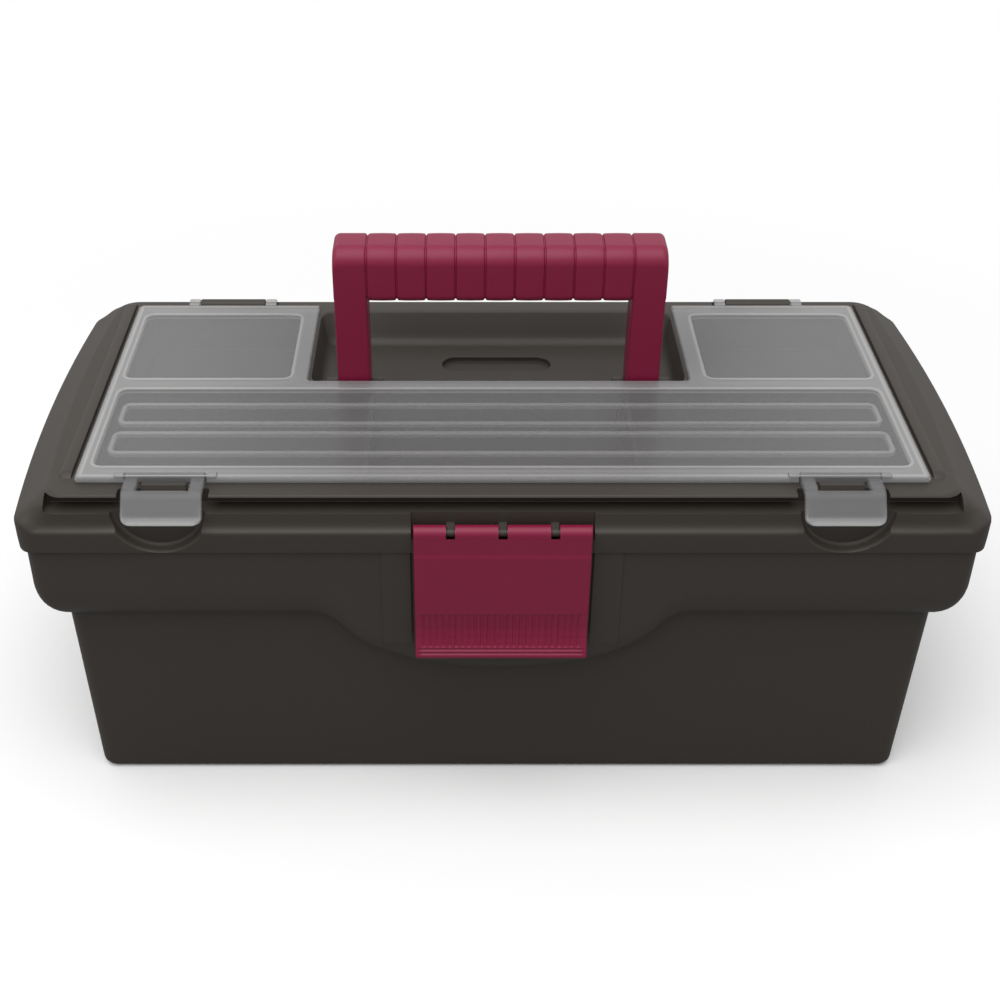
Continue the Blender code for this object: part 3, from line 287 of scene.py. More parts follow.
def bowed_ring(side, front, radius, height, fixed=0.0, stations=np.linspace(-1, 1, 25)):
    """One ring round the box: straight front and back, short sides bowed as a parabola, round corners. Front
    points whose share of the half width is under `fixed` keep the same X on every ring."""
    reach_x = WIDTH / 2 - side
    reach_y = HALF_DEPTH - front
    straight = reach_y - radius

    def bowed(y):
        return reach_x - BOW * (y / reach_y) ** 2

    end = bowed(straight) - radius
    share = np.abs(stations)
    near = share * FRONT_REACH
    far = fixed * FRONT_REACH + (share - fixed) / (1 - fixed) * (end - fixed * FRONT_REACH)
    front_x = np.sign(stations) * np.where(share <= fixed, near, far)
    side_y = np.linspace(-straight, straight, 15)[1:-1]
    back_x = np.linspace(end, -end, 20)[1:-1]
    flat = outline(
        np.stack([front_x, np.full_like(front_x, -reach_y)], -1),
        arc((end, -straight), radius, -90, 0, 9)[1:],
        np.stack([bowed(side_y), side_y], -1),
        arc((end, straight), radius, 0, 90, 9),
        np.stack([back_x, np.full_like(back_x, reach_y)], -1),
        arc((-end, straight), radius, 90, 180, 9),
        np.stack([-bowed(side_y), -side_y], -1),
        arc((-end, -straight), radius, 180, 270, 9)[:-1],
    )
    ring = np.empty((len(flat), 3))
    ring[:, :2] = flat
    ring[:, 2] = height
    return ring


# ---- Making, cutting and joining meshes ----


def make_mesh(name, shells):
    """One mesh from shells given as (points in millimetres, faces), welded, with its faces pointing out."""
    weld = 0.002 * MM
    points, faces = [], []
    for shell_points, shell_faces in shells:
        start = sum(len(p) for p in points)
        points.append(shell_points)
        faces += [[start + corner for corner in face] for face in shell_faces]
    mesh = bpy.data.meshes.new(name)
    placed = (np.concatenate(points) + (0, SHIFT, 0)) * MM
    mesh.from_pydata(placed.tolist(), [], faces)
    work = bmesh.new()
    work.from_mesh(mesh)
    bmesh.ops.remove_doubles(work, verts=work.verts, dist=weld)
    bmesh.ops.dissolve_degenerate(work, edges=work.edges, dist=weld * 0.5)
    bmesh.ops.delete(work, geom=[v for v in work.verts if not v.link_faces], context="VERTS")
    bmesh.ops.recalc_face_normals(work, faces=work.faces)
    work.to_mesh(mesh)
    work.free()
    return mesh


def make_piece(name, shells):
    """A new object from shells, in the scene."""
    piece = bpy.data.objects.new(name, make_mesh(name, shells))
    bpy.context.scene.collection.objects.link(piece)
    return piece


def combine_with(piece, operation, tool):
    """Cuts another object away from a piece or joins it on, and keeps the result as the piece's own mesh."""
    step = piece.modifiers.new("step", "BOOLEAN")
    step.operation = operation
    step.solver = "EXACT"
    step.object = tool
    graph = bpy.context.evaluated_depsgraph_get()
    result = bpy.data.meshes.new_from_object(piece.evaluated_get(graph))
    piece.modifiers.clear()
    old, piece.data = piece.data, result
    bpy.data.meshes.remove(old)
    bpy.data.meshes.remove(tool.data)
    if len(result.polygons) < 6:
        raise RuntimeError(f"{piece.name}: a {operation} left no body")


def combine(piece, operation, *tools):
    """Combines a piece with one group of shells after another. Shells that overlap are in separate groups."""
    for shells in tools:
        combine_with(piece, operation, make_piece("tool", shells))


def finish_piece(piece, material, body, slot, *nodes):
    """Smooths the shading up to edges of 34 degrees, gives the finish, and hands the piece to its body."""
    mesh = piece.data
    mesh.name = piece.name
    mesh.shade_smooth()
    mesh.set_sharp_from_angle(angle=math.radians(34))
    even = piece.modifiers.new("even shading", "WEIGHTED_NORMAL")
    even.keep_sharp = True
    mesh.materials.clear()
    mesh.materials.append(material)
    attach(piece, body)
    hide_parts(*nodes)


# ---- Materials ----

CHARCOAL = "charcoal moulded polypropylene"
RASPBERRY = "raspberry moulded polypropylene"
TRAY = "tray moulded polypropylene"
FROSTED = "frosted clear polypropylene"
WIRE = "drawn steel wire"


def linear(code):
    """An sRGB hex colour as the linear colour that shaders use."""
    channels = [int(code[start : start + 2], 16) / 255 for start in (0, 2, 4)]
    return [c / 12.92 if c <= 0.04045 else ((c + 0.055) / 1.055) ** 2.4 for c in channels]


def add_node(tree, kind, inputs=None, **settings):
    """Adds a node with its settings. An input is a value, or another node's output to link."""
    made = tree.nodes.new(kind)
    for name, value in settings.items():
        setattr(made, name, value)
    for name, value in (inputs or {}).items():
        if isinstance(value, bpy.types.NodeSocket):
            tree.links.new(value, made.inputs[name])
        else:
            made.inputs[name].default_value = value
    return made


def new_material(name):
    """An empty node material and its tree."""
    material = bpy.data.materials.new(name)
    material.use_nodes = True
    material.node_tree.nodes.clear()
    return material, material.node_tree


def shades(tree, factor, dark, light):
    """Linear mix from dark to light, as a colour."""
    mixed = add_node(tree, "ShaderNodeMix", {"Factor": factor}, data_type="RGBA")
    mixed.inputs[6].default_value = dark
    mixed.inputs[7].default_value = light
    return mixed.outputs[2]


def toned(colour, factor):
    """A colour made lighter or darker by a factor."""
    return (*(min(1.0, channel * factor) for channel in colour), 1.0)


def noise(tree, place, size_mm, detail, **inputs):
    """The strength of a noise whose features are about size_mm across."""
    settings = {"Vector": place, "Scale": 1 / (size_mm * MM), "Detail": detail, **inputs}
    return add_node(tree, "ShaderNodeTexNoise", settings).outputs["Fac"]


def spread(tree, value, low, high):
    """A value from 0 to 1, spread between low and high."""
    inputs = {"Value": value, "To Min": low, "To Max": high}
    return add_node(tree, "ShaderNodeMapRange", inputs).outputs["Result"]


def end_material(tree, inputs):
    """Adds the shader and the output that a material ends with."""
    shader = add_node(tree, "ShaderNodeBsdfPrincipled", inputs)
    add_node(tree, "ShaderNodeOutputMaterial", {"Surface": shader.outputs[0]})


def moulded_plastic(name, colour, roughness, grain_mm, grain_height_mm, mottle):
    """An opaque moulding: fine spark-eroded grain, faint mottling from the pigment, uneven gloss."""
    material, tree = new_material(name)
    place = add_node(tree, "ShaderNodeTexCoord").outputs["Object"]
    grain = noise(tree, place, grain_mm, 3.0, Roughness=0.6)
    cloud = noise(tree, place, 38, 4.0, Roughness=0.55, Distortion=0.4)
    raised = add_node(tree, "ShaderNodeMath", {0: cloud, 1: 0.3}, operation="ADD").outputs[0]
    pigment = add_node(tree, "ShaderNodeMath", {0: raised, 1: grain}, operation="MULTIPLY").outputs[0]
    height = {"Height": grain, "Strength": 0.35, "Distance": grain_height_mm * MM}
    inputs = {
        "Base Color": shades(tree, pigment, toned(colour, 1 - mottle), toned(colour, 1 + mottle)),
        "Roughness": spread(tree, cloud, roughness - 0.05, roughness + 0.05),
        "Normal": add_node(tree, "ShaderNodeBump", height).outputs["Normal"],
        "IOR": 1.49,
        "Specular IOR Level": 0.35,
    }
    end_material(tree, inputs)
    return material


def frosted_plastic(name, colour, haze_colour, roughness, clarity):
    """A clear moulding with a matt face: milky where it is thick, clearer where it is thin, and lighter where
    light is painted onto it.
    """
    material, tree = new_material(name)
    place = add_node(tree, "ShaderNodeTexCoord").outputs["Object"]
    # The attribute holds the plastic's milkiness from its thickness, plus light painted towards the cover's
    # ends.
    thick = add_node(tree, "ShaderNodeAttribute", attribute_name="thickness").outputs["Fac"]
    grain = noise(tree, place, 0.9, 2.0, Roughness=0.5)
    cloud = noise(tree, place, 45, 3.0, Roughness=0.5)
    height = {"Height": grain, "Strength": 0.06, "Distance": 0.005 * MM}
    inputs = {
        "Base Color": shades(tree, thick, (*colour, 1), (*haze_colour, 1)),
        "Roughness": spread(tree, cloud, roughness - 0.05, roughness + 0.05),
        "Normal": add_node(tree, "ShaderNodeBump", height).outputs["Normal"],
        "IOR": 1.49,
        "Alpha": spread(tree, thick, 1 - clarity, 1 - clarity * 0.35),
    }
    end_material(tree, inputs)
    return material


def drawn_steel(name, colour):
    """Drawn wire: fine lines along its length, which is along X."""
    material, tree = new_material(name)
    place = add_node(tree, "ShaderNodeTexCoord").outputs["Object"]
    along = add_node(tree, "ShaderNodeMapping", {"Vector": place, "Scale": (0.05, 1, 1)}).outputs[0]
    streak = noise(tree, along, 0.15, 2.0)
    inputs = {
        "Base Color": shades(tree, streak, toned(colour, 0.8), toned(colour, 1.1)),
        "Roughness": spread(tree, streak, 0.32, 0.5),
        "Metallic": 1.0,
    }
    end_material(tree, inputs)
    return material


def finish_of(key):
    """The material of this name, made the first time that it is asked for."""
    if key in bpy.data.materials:
        return bpy.data.materials[key]
    colours = bpy.context.scene.toolbox_colours
    finishes = {
        # From a spark-eroded mould: a soft satin that spreads each highlight wide and shows a faint grain.
        CHARCOAL: (moulded_plastic, colours.charcoal, 0.5, 0.8, 0.05, 0.07),
        # The same plastic from a finer mould: a little glossier, so rings and ribs catch a thin line of light.
        RASPBERRY: (moulded_plastic, colours.raspberry, 0.46, 0.7, 0.03, 0.06),
        # A plain inner moulding: the dullest of the three, with hardly a highlight.
        TRAY: (moulded_plastic, colours.tray, 0.52, 0.8, 0.04, 0.06),
        # Unpigmented and moulded matt: greys what lies under it, and turns white at beads, ribs and edges. Its
        # grain is drawn at 0.9 mm, coarser than the real frosting, which would be too fine to show.
        FROSTED: (frosted_plastic, colours.frosted, colours.haze, 0.3, 0.72),
        # Pulled through a die: a grey, blurred shine that runs along the pin.
        WIRE: (drawn_steel, colours.steel),
    }
    maker, *values = finishes[key]
    return maker(key, *values)


# ---- Tub ----


def bib_share(x):
    """How much of its full drop the apron has at x: a half ellipse, and a parabola that flares out at its ends
    from 0.95 of its half width."""
    t = np.abs(x) / APRON
    inner = np.sqrt(np.clip(1 - t * t, 0, 1))
    flare = 7.42 * np.clip(1.155 - t, 0, 1) ** 2
    return np.where(t <= 0.95, inner, flare)


def tub_shell():
    """The tub's outside, rim, ledge and inside as rings. Its collar curves out from the body as a quarter
    ellipse, and the ellipse hangs lower behind the latch, by the apron's drop at that X."""
    flare_end = 66.0
    places = np.concatenate([
        np.sin(np.radians(np.linspace(0, 90, 20))) * APRON * 0.95,
        np.linspace(APRON * 0.95, flare_end, 8)[1:],
        np.linspace(flare_end, FRONT_REACH, 12)[1:],
    ])
    right = places / FRONT_REACH
    stations = np.concatenate([-right[:0:-1], right])
    fixed = flare_end / FRONT_REACH
    overhang, draft, foot = 8.2, 1.9, 3.5
    body = SETBACK + overhang
    low = body + draft
    share = np.zeros(len(bowed_ring(body, body, CORNER, 0, fixed, stations)))
    share[: len(stations)] = bib_share(stations * FRONT_REACH)
    collar_foot = RIM - 31.2 - APRON_DROP * share
    curve_height = 16 - 5 * share
    rings = []

    def ring(inset, height, radius=CORNER):
        made = bowed_ring(inset, inset, radius, 0, fixed, stations)
        made[:, 2] = height
        rings.append(made)

    for turn in np.radians(np.linspace(0, 90, 6)):
        ring(low + foot * (1 - math.sin(turn)), foot * (1 - math.cos(turn)))
    for part in (0.25, 0.5, 0.75):
        ring(low - draft * part, foot + (collar_foot - foot) * part)
    ring(body, collar_foot - 0.6)
    for turn in np.radians(np.linspace(0, 90, 12)):
        ring(body - overhang * math.sin(turn), collar_foot + curve_height * (1 - math.cos(turn)))
    for level in (97.0, 103.0, RIM - 0.7):
        ring(SETBACK, level)
    for turn in np.radians((30, 60, 90)):
        ring(SETBACK + 0.7 * (1 - math.cos(turn)), RIM - 0.7 * (1 - math.sin(turn)))
    inner = CORNER - WALL
    wall = SETBACK + WALL
    for turn in np.radians((0, 45, 90)):
        ring(wall - 0.5 * (1 - math.sin(turn)), RIM - 0.5 * (1 - math.cos(turn)), inner)
    ledge_end = body + WALL
    for inset, height in (
        (wall, LEDGE + 10),
        (wall + 1.0, LEDGE + 4.5),
        (wall + 2.9, LEDGE + 0.3),
        (ledge_end - 5.1, LEDGE),
        (ledge_end - 0.4, LEDGE),
        (ledge_end, LEDGE - 0.4),
    ):
        ring(inset, height, inner)
    for turn in np.radians(np.linspace(0, 90, 5)):
        ring(low + WALL + foot * (1 - math.cos(turn)), 2.6 + foot * (1 - math.sin(turn)), inner)
    return loft(rings)


def knuckle(axis, radius, foot, start, end, low, high):
    """A hinge barrel: an arc about its axis whose ends run into the wall, carried along X."""
    return bar(outline(arc(axis, radius, start, end, 13), foot), low, high)


def tub_details():
    """The panels beside the latch, the catch under its hook and the barrels of the back hinges."""
    front = -HALF_DEPTH + SETBACK - 0.6
    back = -HALF_DEPTH + SETBACK + 1.2
    top = RIM - 0.25
    low = RIM - 41.8
    panel = [(back, top), (front + 0.4, top), (front, top - 0.9)]
    panel += [(front, low + 3.2), (front + 0.5, low + 2.0), (back, low)]
    shells = []
    for side in (-1, 1):
        near, far = sorted((side * LATCH_SIDE, side * (LATCH_SIDE + 10.5)))
        shells.append(bar(panel, near, far, 0.5))
    tip = -HALF_DEPTH + 1.0
    hook = LATCH_BOTTOM + 9.6
    shells.append(bar([(back, hook - 0.2), (tip, hook), (tip, hook + 1.2), (back, hook + 4.5)], -24, 24))
    foot = [(HALF_DEPTH + 0.3, RIM - 0.2), (HALF_DEPTH - 3.2, RIM - 0.2), (HALF_DEPTH - 3.2, RIM - 9)]
    for side in (-1, 1):
        for inner in (6.0, -14.0):
            start = side * LID_HINGE_X + inner
            shells.append(knuckle(LID_AXIS, LID_BARREL, foot, -50, 180, start, start + 8))
    return shells


def build_tub():
    tub = make_piece("tub_moulding", [tub_shell()])
    combine(tub, "UNION", tub_details())
    finish_piece(tub, finish_of(CHARCOAL), "tub", "charcoal_plastic", "tub")


# ---- Lid ----


def lid_block():
    """The lid as a solid: band, sloping shoulder and the edge of its deck, as rings. A ring is level along the
    front and along a side, and its corner arc eases from one height to the other."""
    steps = [
        # inset at the sides and the front, height at the sides and the front, corner radius
        (0.9, 0.9, 109.9, 109.9, 5.0),
        (0.55, 0.55, 110.0, 110.0, 5.0),
        (0.4, 0.4, 110.3, 110.3, 5.2),
        (0.2, 0.2, 114.0, 113.0, 5.6),
        (0.0, 0.0, 120.2, 117.0, 6.6),
        (0.06, 0.06, 121.0, 117.7, 7.0),
        (0.3, 0.2, 121.7, 118.25, 7.3),
        (0.9, 0.55, 122.35, 118.6, 7.6),
        (2.2, 1.2, 123.4, 119.2, 8.0),
        (3.6, 1.7, 124.5, 120.1, 8.0),
        (5.2, 2.0, 125.75, 121.6, 8.0),
        (7.2, 2.2, 127.35, 124.6, 8.0),
        (8.6, 3.2, 128.35, 127.4, 8.0),
        (10.0, 4.1, 129.35, 129.1, 8.0),
        (10.7, 4.45, 129.85, 129.8, 8.0),
        (11.2, 4.7, 130.2, 130.2, 8.0),
        (11.9, 5.1, 130.4, 130.4, 8.0),
    ]
    rings = []
    for side, front, side_height, front_height, radius in steps:
        ring = bowed_ring(side, front, radius, front_height)
        turned = smooth_step(0, 0.8, (np.abs(ring[:, 0]) - (WIDTH / 2 - side - BOW - radius)) / radius)
        ring[:, 2] += (side_height - front_height) * turned
        rings.append(ring)
    return loft(rings)


def lid_cavity():
    """The room under the deck, which follows the lid's outside."""
    steps = [(3.2, 3.2, RIM - 1), (3.2, 3.2, BAND_TOP - 1.4), (7.5, 11, BAND_TOP + 2.6), (14.3, 11, DECK - 2.3)]
    return loft([bowed_ring(side, front, CORNER - WALL, height) for side, front, height in steps])


def kept_wells():
    """What hangs under the deck round the three wells, as one U-shaped block."""
    x, front, back = WELL_X + 2, WELL_FRONT - 2, WING_BACK + 2
    inner, split = WING_X - 2, WING_FRONT - 2
    right = [(x, front), (x, back), (inner, back), (inner, split)]
    plan = right + [(-x, y) for x, y in reversed(right)]
    return loft([in_plane(plan, WELL_FLOOR - 2, "z"), in_plane(plan, DECK + 1, "z")])


def kept_blocks():
    """Solid behind the latch's recess, round the scoops and under the cover's hinges."""
    front, high = -HALF_DEPTH - 1, DECK + 1
    reach = LATCH_SIDE + WALL
    shells = [block((-reach, front, RIM - 2), (reach, LATCH_AXIS[0] + LATCH_ROOM + WALL, high))]
    reach = SCOOP + WALL
    back = -HALF_DEPTH + SCOOP_DEPTH + WALL
    for middle in (-CLIP_X, CLIP_X):
        shells.append(block((middle - reach, front, RIM - 2), (middle + reach, back, high)))
    reach = HINGE_SLOT + WALL
    for middle in (-COVER_HINGE_X, COVER_HINGE_X):
        shells.append(block((middle - reach, WING_BACK + 1, DECK - 5), (middle + reach, HALF_DEPTH + 1, high)))
    return shells


def well_tools():
    """Cutters for the wells, each with a round at its floor and a flare at its mouth."""
    plans = [((-WELL_X, WELL_FRONT), (WELL_X, WELL_MIDDLE))]
    for side in (-1, 1):
        near, far = sorted((side * WING_X, side * WELL_X))
        plans.append(((near, WING_FRONT), (far, WING_BACK)))
    steps = [(-1.5, 0), (-0.75, 0.2), (-0.2, 0.75), (0, 1.5), (0, 15.9), (0.15, 16.3), (0.5, 16.5), (1.2, 18)]
    shells = []
    for low, high in plans:
        rings = []
        for grow, height in steps:
            near = (low[0] - grow, low[1] - grow)
            far = (high[0] + grow, high[1] + grow)
            rings.append(in_plane(rounded(near, far, 3.0 + grow), WELL_FLOOR + height, "z"))
        shells.append(loft(rings))
    return shells


def pocket_tool():
    """The handle's pocket: side walls that draw in by 2 mm towards a rounded foot, a back wall that slopes by
    5.5 mm, and a soft edge at the deck."""
    rings = []
    for share, grow, height in (
        (0.0, -3.9, 0.0),
        (0.0, -2.5, 0.3),
        (0.05, -1.2, 1.15),
        (0.1, -0.35, 2.4),
        (0.22, 0.0, 4.0),
        (0.94, 0.0, 10.3),
        (0.98, 0.15, 10.75),
        (1.0, 0.6, 11.0),
        (1.0, 1.6, 13.0),
    ):
        side = POCKET_X - 2 * (1 - share) + grow
        back = POCKET_BACK - 5.5 * (1 - share) + grow
        plan = rounded((-side, POCKET_FRONT - grow * 0.2), (side, back), 4.6 + 1.4 * share + grow, 9)
        rings.append(in_plane(plan, POCKET_FLOOR + height, "z"))
    return loft(rings)


def finger_slot_tool():
    """The shallow slot with round ends in the pocket's floor."""
    centre = POCKET_BACK - 23.2
    rings = []
    for grow, height in ((-0.8, -2.0), (-0.25, -1.85), (0, -1.2), (0.05, -0.2), (0.3, 0.0), (0.9, 0.7)):
        reach, half = 21 + grow, 5.5 + grow
        plan = rounded((-reach, centre - half), (reach, centre + half), half - 0.01, 9)
        rings.append(in_plane(plan, POCKET_FLOOR + height, "z"))
    return loft(rings)


def front_tools():
    """Cutters for the shadow groove along the front and for the latch's own recess."""
    roof = GROOVE_ROOF
    floor = roof - 4.8
    back = -HALF_DEPTH + 9.1
    groove = [
        (back, roof - 0.5),
        (back, floor + 0.5),
        (back - 0.15, floor + 0.15),
        (back - 0.5, floor),
        (-71.7, floor),
        (-72.2, floor - 0.25),
        (-73.0, floor - 0.9),
        (-80, floor - 4),
        (-80, roof + 0.25),
        (-69.9, roof + 0.25),
        (-69.5, roof),
        (back - 0.5, roof),
        (back - 0.15, roof - 0.15),
    ]
    deep, under = LATCH_AXIS[0] + LATCH_ROOM, LATCH_AXIS[1] - LATCH_ROOM
    recess = [
        (LATCH_BACK + 0.3, RIM - 1),
        (LATCH_BACK + 0.3, under),
        (deep, under),
        (deep, roof - 0.4),
        (deep - 0.4, roof),
        (-69.5, roof),
        (-69.9, roof + 0.25),
        (-79, roof + 0.25),
        (-79, RIM - 1),
    ]
    ends = [in_plane(recess, -LATCH_SIDE, "x"), in_plane(recess, LATCH_SIDE, "x")]
    return bar(groove, -150.8, 150.8, 0.4), loft(ends)


def scoop_tools():
    """Finger room under each clip: a half disc sunk into the band, with a round foot and a flared edge, that
    opens upwards through the ledge."""
    centre_height = RIM + 17.0
    steps = [(-2.0, 3.0), (0.0, 1.1), (0.25, 0.65), (0.6, 0.3), (1.1, 0.05), (1.8, -0.1), (2.9, -0.25)]
    steps += [(3.5, -0.5), (3.9, -0.85), (SCOOP_DEPTH, -1.4)]
    discs, slots = [], []
    for side in (-1, 1):
        middle = side * CLIP_X
        hollow = side * (CLIP_X + 1.9)
        rings = []
        for depth, grow in steps:
            half_disc = arc((hollow, centre_height), SCOOP + grow, 180, 360, 37)
            corners = [(hollow + SCOOP + grow, GROOVE_ROOF), (hollow - SCOOP - grow, GROOVE_ROOF)]
            rings.append(in_plane(outline(half_disc, corners), -HALF_DEPTH + depth, "y"))
        discs.append(loft(rings))
        plan = rounded((middle - 15.1, -HALF_DEPTH - 4), (middle + 15.1, COVER_FRONT - 2.6), 1.2)
        slots.append(loft([in_plane(plan, GROOVE_ROOF - 0.3, "z"), in_plane(plan, DECK + 1, "z")]))
    return discs, slots


def hinge_slot_tools():
    """Room in the deck round the cover's hinges."""
    low, high = COVER_AXIS[0] - COVER_BARREL - 1.1, COVER_AXIS[0] + COVER_BARREL + 1.1
    return [
        block((middle - HINGE_SLOT, low, DECK - 2.5), (middle + HINGE_SLOT, high, DECK + 3))
        for middle in (-COVER_HINGE_X, COVER_HINGE_X)
    ]


def lid_barrels():
    """Barrels for the cover's hinges on the deck and for the lid's own hinges at the back."""
    shells = []
    cover_foot = [(COVER_AXIS[0] - 1.84, DECK - 3.5), (COVER_AXIS[0] + 1.84, DECK - 3.5)]
    back = HALF_DEPTH - 1.2
    lid_foot = [(back, RIM + 8.5), (back, RIM + 0.6), (HALF_DEPTH + 0.3, RIM + 0.6)]
    for side in (-1, 1):
        low, high = side * COVER_HINGE_X - COVER_KNUCKLE / 2, side * COVER_HINGE_X + COVER_KNUCKLE / 2
        shells.append(knuckle(COVER_AXIS, COVER_BARREL, cover_foot, 0, 180, low, high))
        low, high = side * LID_HINGE_X - 5.6, side * LID_HINGE_X + 5.6
        shells.append(knuckle(LID_AXIS, LID_BARREL, lid_foot, -180, 50, low, high))
    return shells


def handle_ears():
    """The pairs of ears in the pocket that hold the handle's pins."""
    base = POCKET_FLOOR - 1.2
    foot = [(HANDLE_AXIS[0] - 4.7, base), (HANDLE_AXIS[0] + 4.7, base)]
    shells = []
    for side in (-1, 1):
        for near in (GRIP_X + 0.4, GRIP_X - LEG - 4.5):
            start, end = sorted((side * near, side * (near + 4.1)))
            shells.append(knuckle(HANDLE_AXIS, HANDLE_EAR, foot, 0, 180, start, end))
    return shells


def latch_lugs():
    """The lugs in the latch's three notches that hold its pin."""
    face, half = LATCH_AXIS[0] + 4.2, NOTCH - 0.1
    foot = [(face, LATCH_AXIS[1] - 2.6), (face, LATCH_AXIS[1] + 2.2)]
    return [
        knuckle(LATCH_AXIS, LATCH_BARREL - 1.2, foot, 90, 270, middle - half, middle + half)
        for middle in (-NOTCH_PITCH, 0, NOTCH_PITCH)
    ]


def deck_details():
    """On the deck: the catch in each clip's window, the rails beside the cover and the wells' guide ribs."""
    shells = []
    low, top = DECK - 0.6, DECK + 1.5
    front = CLIP_AXIS[0] - 3.1
    catch = [(front, low), (front, top), (front - 1.8, top), (front - 2.6, low)]
    rail_near, rail_front, rail_back = COVER_WIDTH / 2 + 1.2, COVER_FRONT + 2, HALF_DEPTH - 6.4
    rail = [(0, 0.8, 0.4), (0.2, 1.2, 0.1), (0.6, 1.4, 0), (3.2, 1.4, 0), (4.2, 0.9, 0.2), (5, 0.1, 0.5)]
    for side in (-1, 1):
        shells.append(bar(catch, side * CLIP_X - 7.5, side * CLIP_X + 7.5))
        rings = []
        for out, rise, pull in rail:
            start, end, height = rail_front + pull, rail_back - pull, DECK + rise
            profile = [(start, low), (start + 2.2, height - 0.5), (start + 4, height)]
            profile += [(end - 4, height), (end - 2.2, height - 0.5), (end, low)]
            rings.append(in_plane(profile, side * (rail_near + out), "x"))
        shells.append(loft(rings))
        for x in (side * 46 - 2.75, side * 46 + 1.15):
            for y0, y1 in ((WELL_FRONT - 1, WELL_FRONT + 2), (WELL_MIDDLE - 2, WELL_MIDDLE + 1)):
                shells.append(block((x, y0, WELL_FLOOR - 1), (x + 1.6, y1, DECK - 2)))
    return shells


def build_lid():
    room = make_piece("lid_room", [lid_cavity()])
    pocket_low = (-POCKET_X - WALL, WELL_MIDDLE - 1, POCKET_FLOOR - WALL)
    pocket_high = (POCKET_X + WALL, POCKET_BACK + WALL, DECK + 1)
    combine(room, "DIFFERENCE", [kept_wells()], [block(pocket_low, pocket_high)], kept_blocks())
    lid = make_piece("lid_moulding", [lid_block()])
    combine_with(lid, "DIFFERENCE", room)
    groove, recess = front_tools()
    discs, slots = scoop_tools()
    combine(lid, "DIFFERENCE", well_tools(), [pocket_tool()], [finger_slot_tool()])
    combine(lid, "DIFFERENCE", [groove], [recess], discs, slots, hinge_slot_tools())
    combine(lid, "UNION", lid_barrels(), handle_ears(), latch_lugs(), deck_details())
    finish_piece(lid, finish_of(CHARCOAL), "lid", "charcoal_plastic", "lid")


# ---- Latch ----


def wave(value, pitch):
    """A raised cosine, from 0 to 1, that repeats at each pitch."""
    return 0.5 + 0.5 * np.cos(2 * np.pi * value / pitch)


def latch_paths():
    """The latch's side view as two paths with as many points each, from the barrel's top to the foot. A front
    point's partner on the back is found by its share of the way."""
    face = LATCH_FACE - 0.25
    lip = -HALF_DEPTH - 4.8
    foot = LATCH_BOTTOM
    front = outline(
        arc(LATCH_AXIS, LATCH_BARREL, 90, 180, 9),
        [(LATCH_FACE, z) for z in np.linspace(LATCH_AXIS[1], RIM + 1.6, 9)[1:]],
        [(LATCH_FACE - 0.1, RIM + 1.1), (face - 0.05, RIM + 0.2)],
        [(face, z) for z in np.linspace(RIM - 0.6, 88.5, 12)],
        [(face, z) for z in np.linspace(88, foot + 11.5, 16)],
        [(face - 0.15, foot + 10.2), (face - 0.45, foot + 9)],
        [(lip + 1.75 * t, foot + 1.4 + 7.0 * t) for t in np.linspace(1, 0, 22)[1:]],
        [(lip + 0.05, foot + 0.7), (lip + 0.3, foot + 0.2), (lip + 0.8, foot)],
    )
    hook = foot + 7
    back = outline(
        arc(LATCH_AXIS, LATCH_BARREL, 90, -40, 9),
        [(LATCH_BACK, LATCH_AXIS[1] - 2.7), (LATCH_BACK, hook + 0.2), (LATCH_BACK + 1.2, hook)],
        [(LATCH_BACK + 1.2, hook - 1.4), (LATCH_BACK, hook - 3.4), (lip + 1.6, foot + 0.3), (lip + 1.2, foot)],
    )
    share = np.linspace(0, 1, len(front) - 9)
    below = np.interp(share, [0, 0.12, 0.72, 0.76, 0.8, 0.86, 0.97, 1], np.arange(9, 17))
    partner = np.minimum(np.concatenate([np.arange(9), below]), len(back) - 1)
    return front, np.stack([np.interp(partner, np.arange(len(back)), column) for column in back.T], -1)


def build_latch():
    """The latch as a wall over a grid of X and length down its side view. Fine ribs near its foot are carved
    by a raised cosine of X, and the lines across its lip by one of Z."""
    half = LATCH_WIDTH / 2
    ribs = bpy.context.scene.toolbox_sizes.rib_pitch / MM
    notch_sides = [middle + side for middle in (-NOTCH_PITCH, 0, NOTCH_PITCH) for side in (-NOTCH, NOTCH)]
    x = lines(-half, half, ribs / 4, notch_sides + [-half, half], (-0.5, -0.2, 0, 0.2, 0.5))
    front, back = latch_paths()
    along, z = x[:, None], front[:, 1][None, :]
    inside = smooth_step(half - 0.9, half - 1.6, np.abs(along))
    ribbed = smooth_step(86.4, 85.6, z) * smooth_step(72.6, 73.4, z)
    lined = smooth_step(73.0, 72.4, z) * smooth_step(69.4, 69.8, z)
    carved = inside * (0.6 * ribbed * wave(along, ribs) + 0.55 * lined * wave(z - 69.2, 1.4))
    upper = np.empty((len(x), len(front), 3))
    upper[..., 0] = along
    upper[..., 1] = front[:, 0] + carved + edge_drop(half - np.abs(along), 0.5)
    upper[..., 2] = z
    lower = np.empty_like(upper)
    lower[..., 0] = along
    lower[..., 1:] = back
    middle_x = (x[1:] + x[:-1]) / 2
    middle_z = (front[1:, 1] + front[:-1, 1]) / 2
    notched = (np.abs(np.abs(middle_x) - NOTCH_PITCH) < NOTCH) | (np.abs(middle_x) < NOTCH)
    keep = ~(notched[:, None] & (middle_z > LATCH_AXIS[1] - 0.9)[None, :])
    latch = make_piece("latch_moulding", [plate(keep, upper, lower)])
    finish_piece(latch, finish_of(RASPBERRY), "latch", "raspberry_plastic", "latch")


# ---- Handle ----


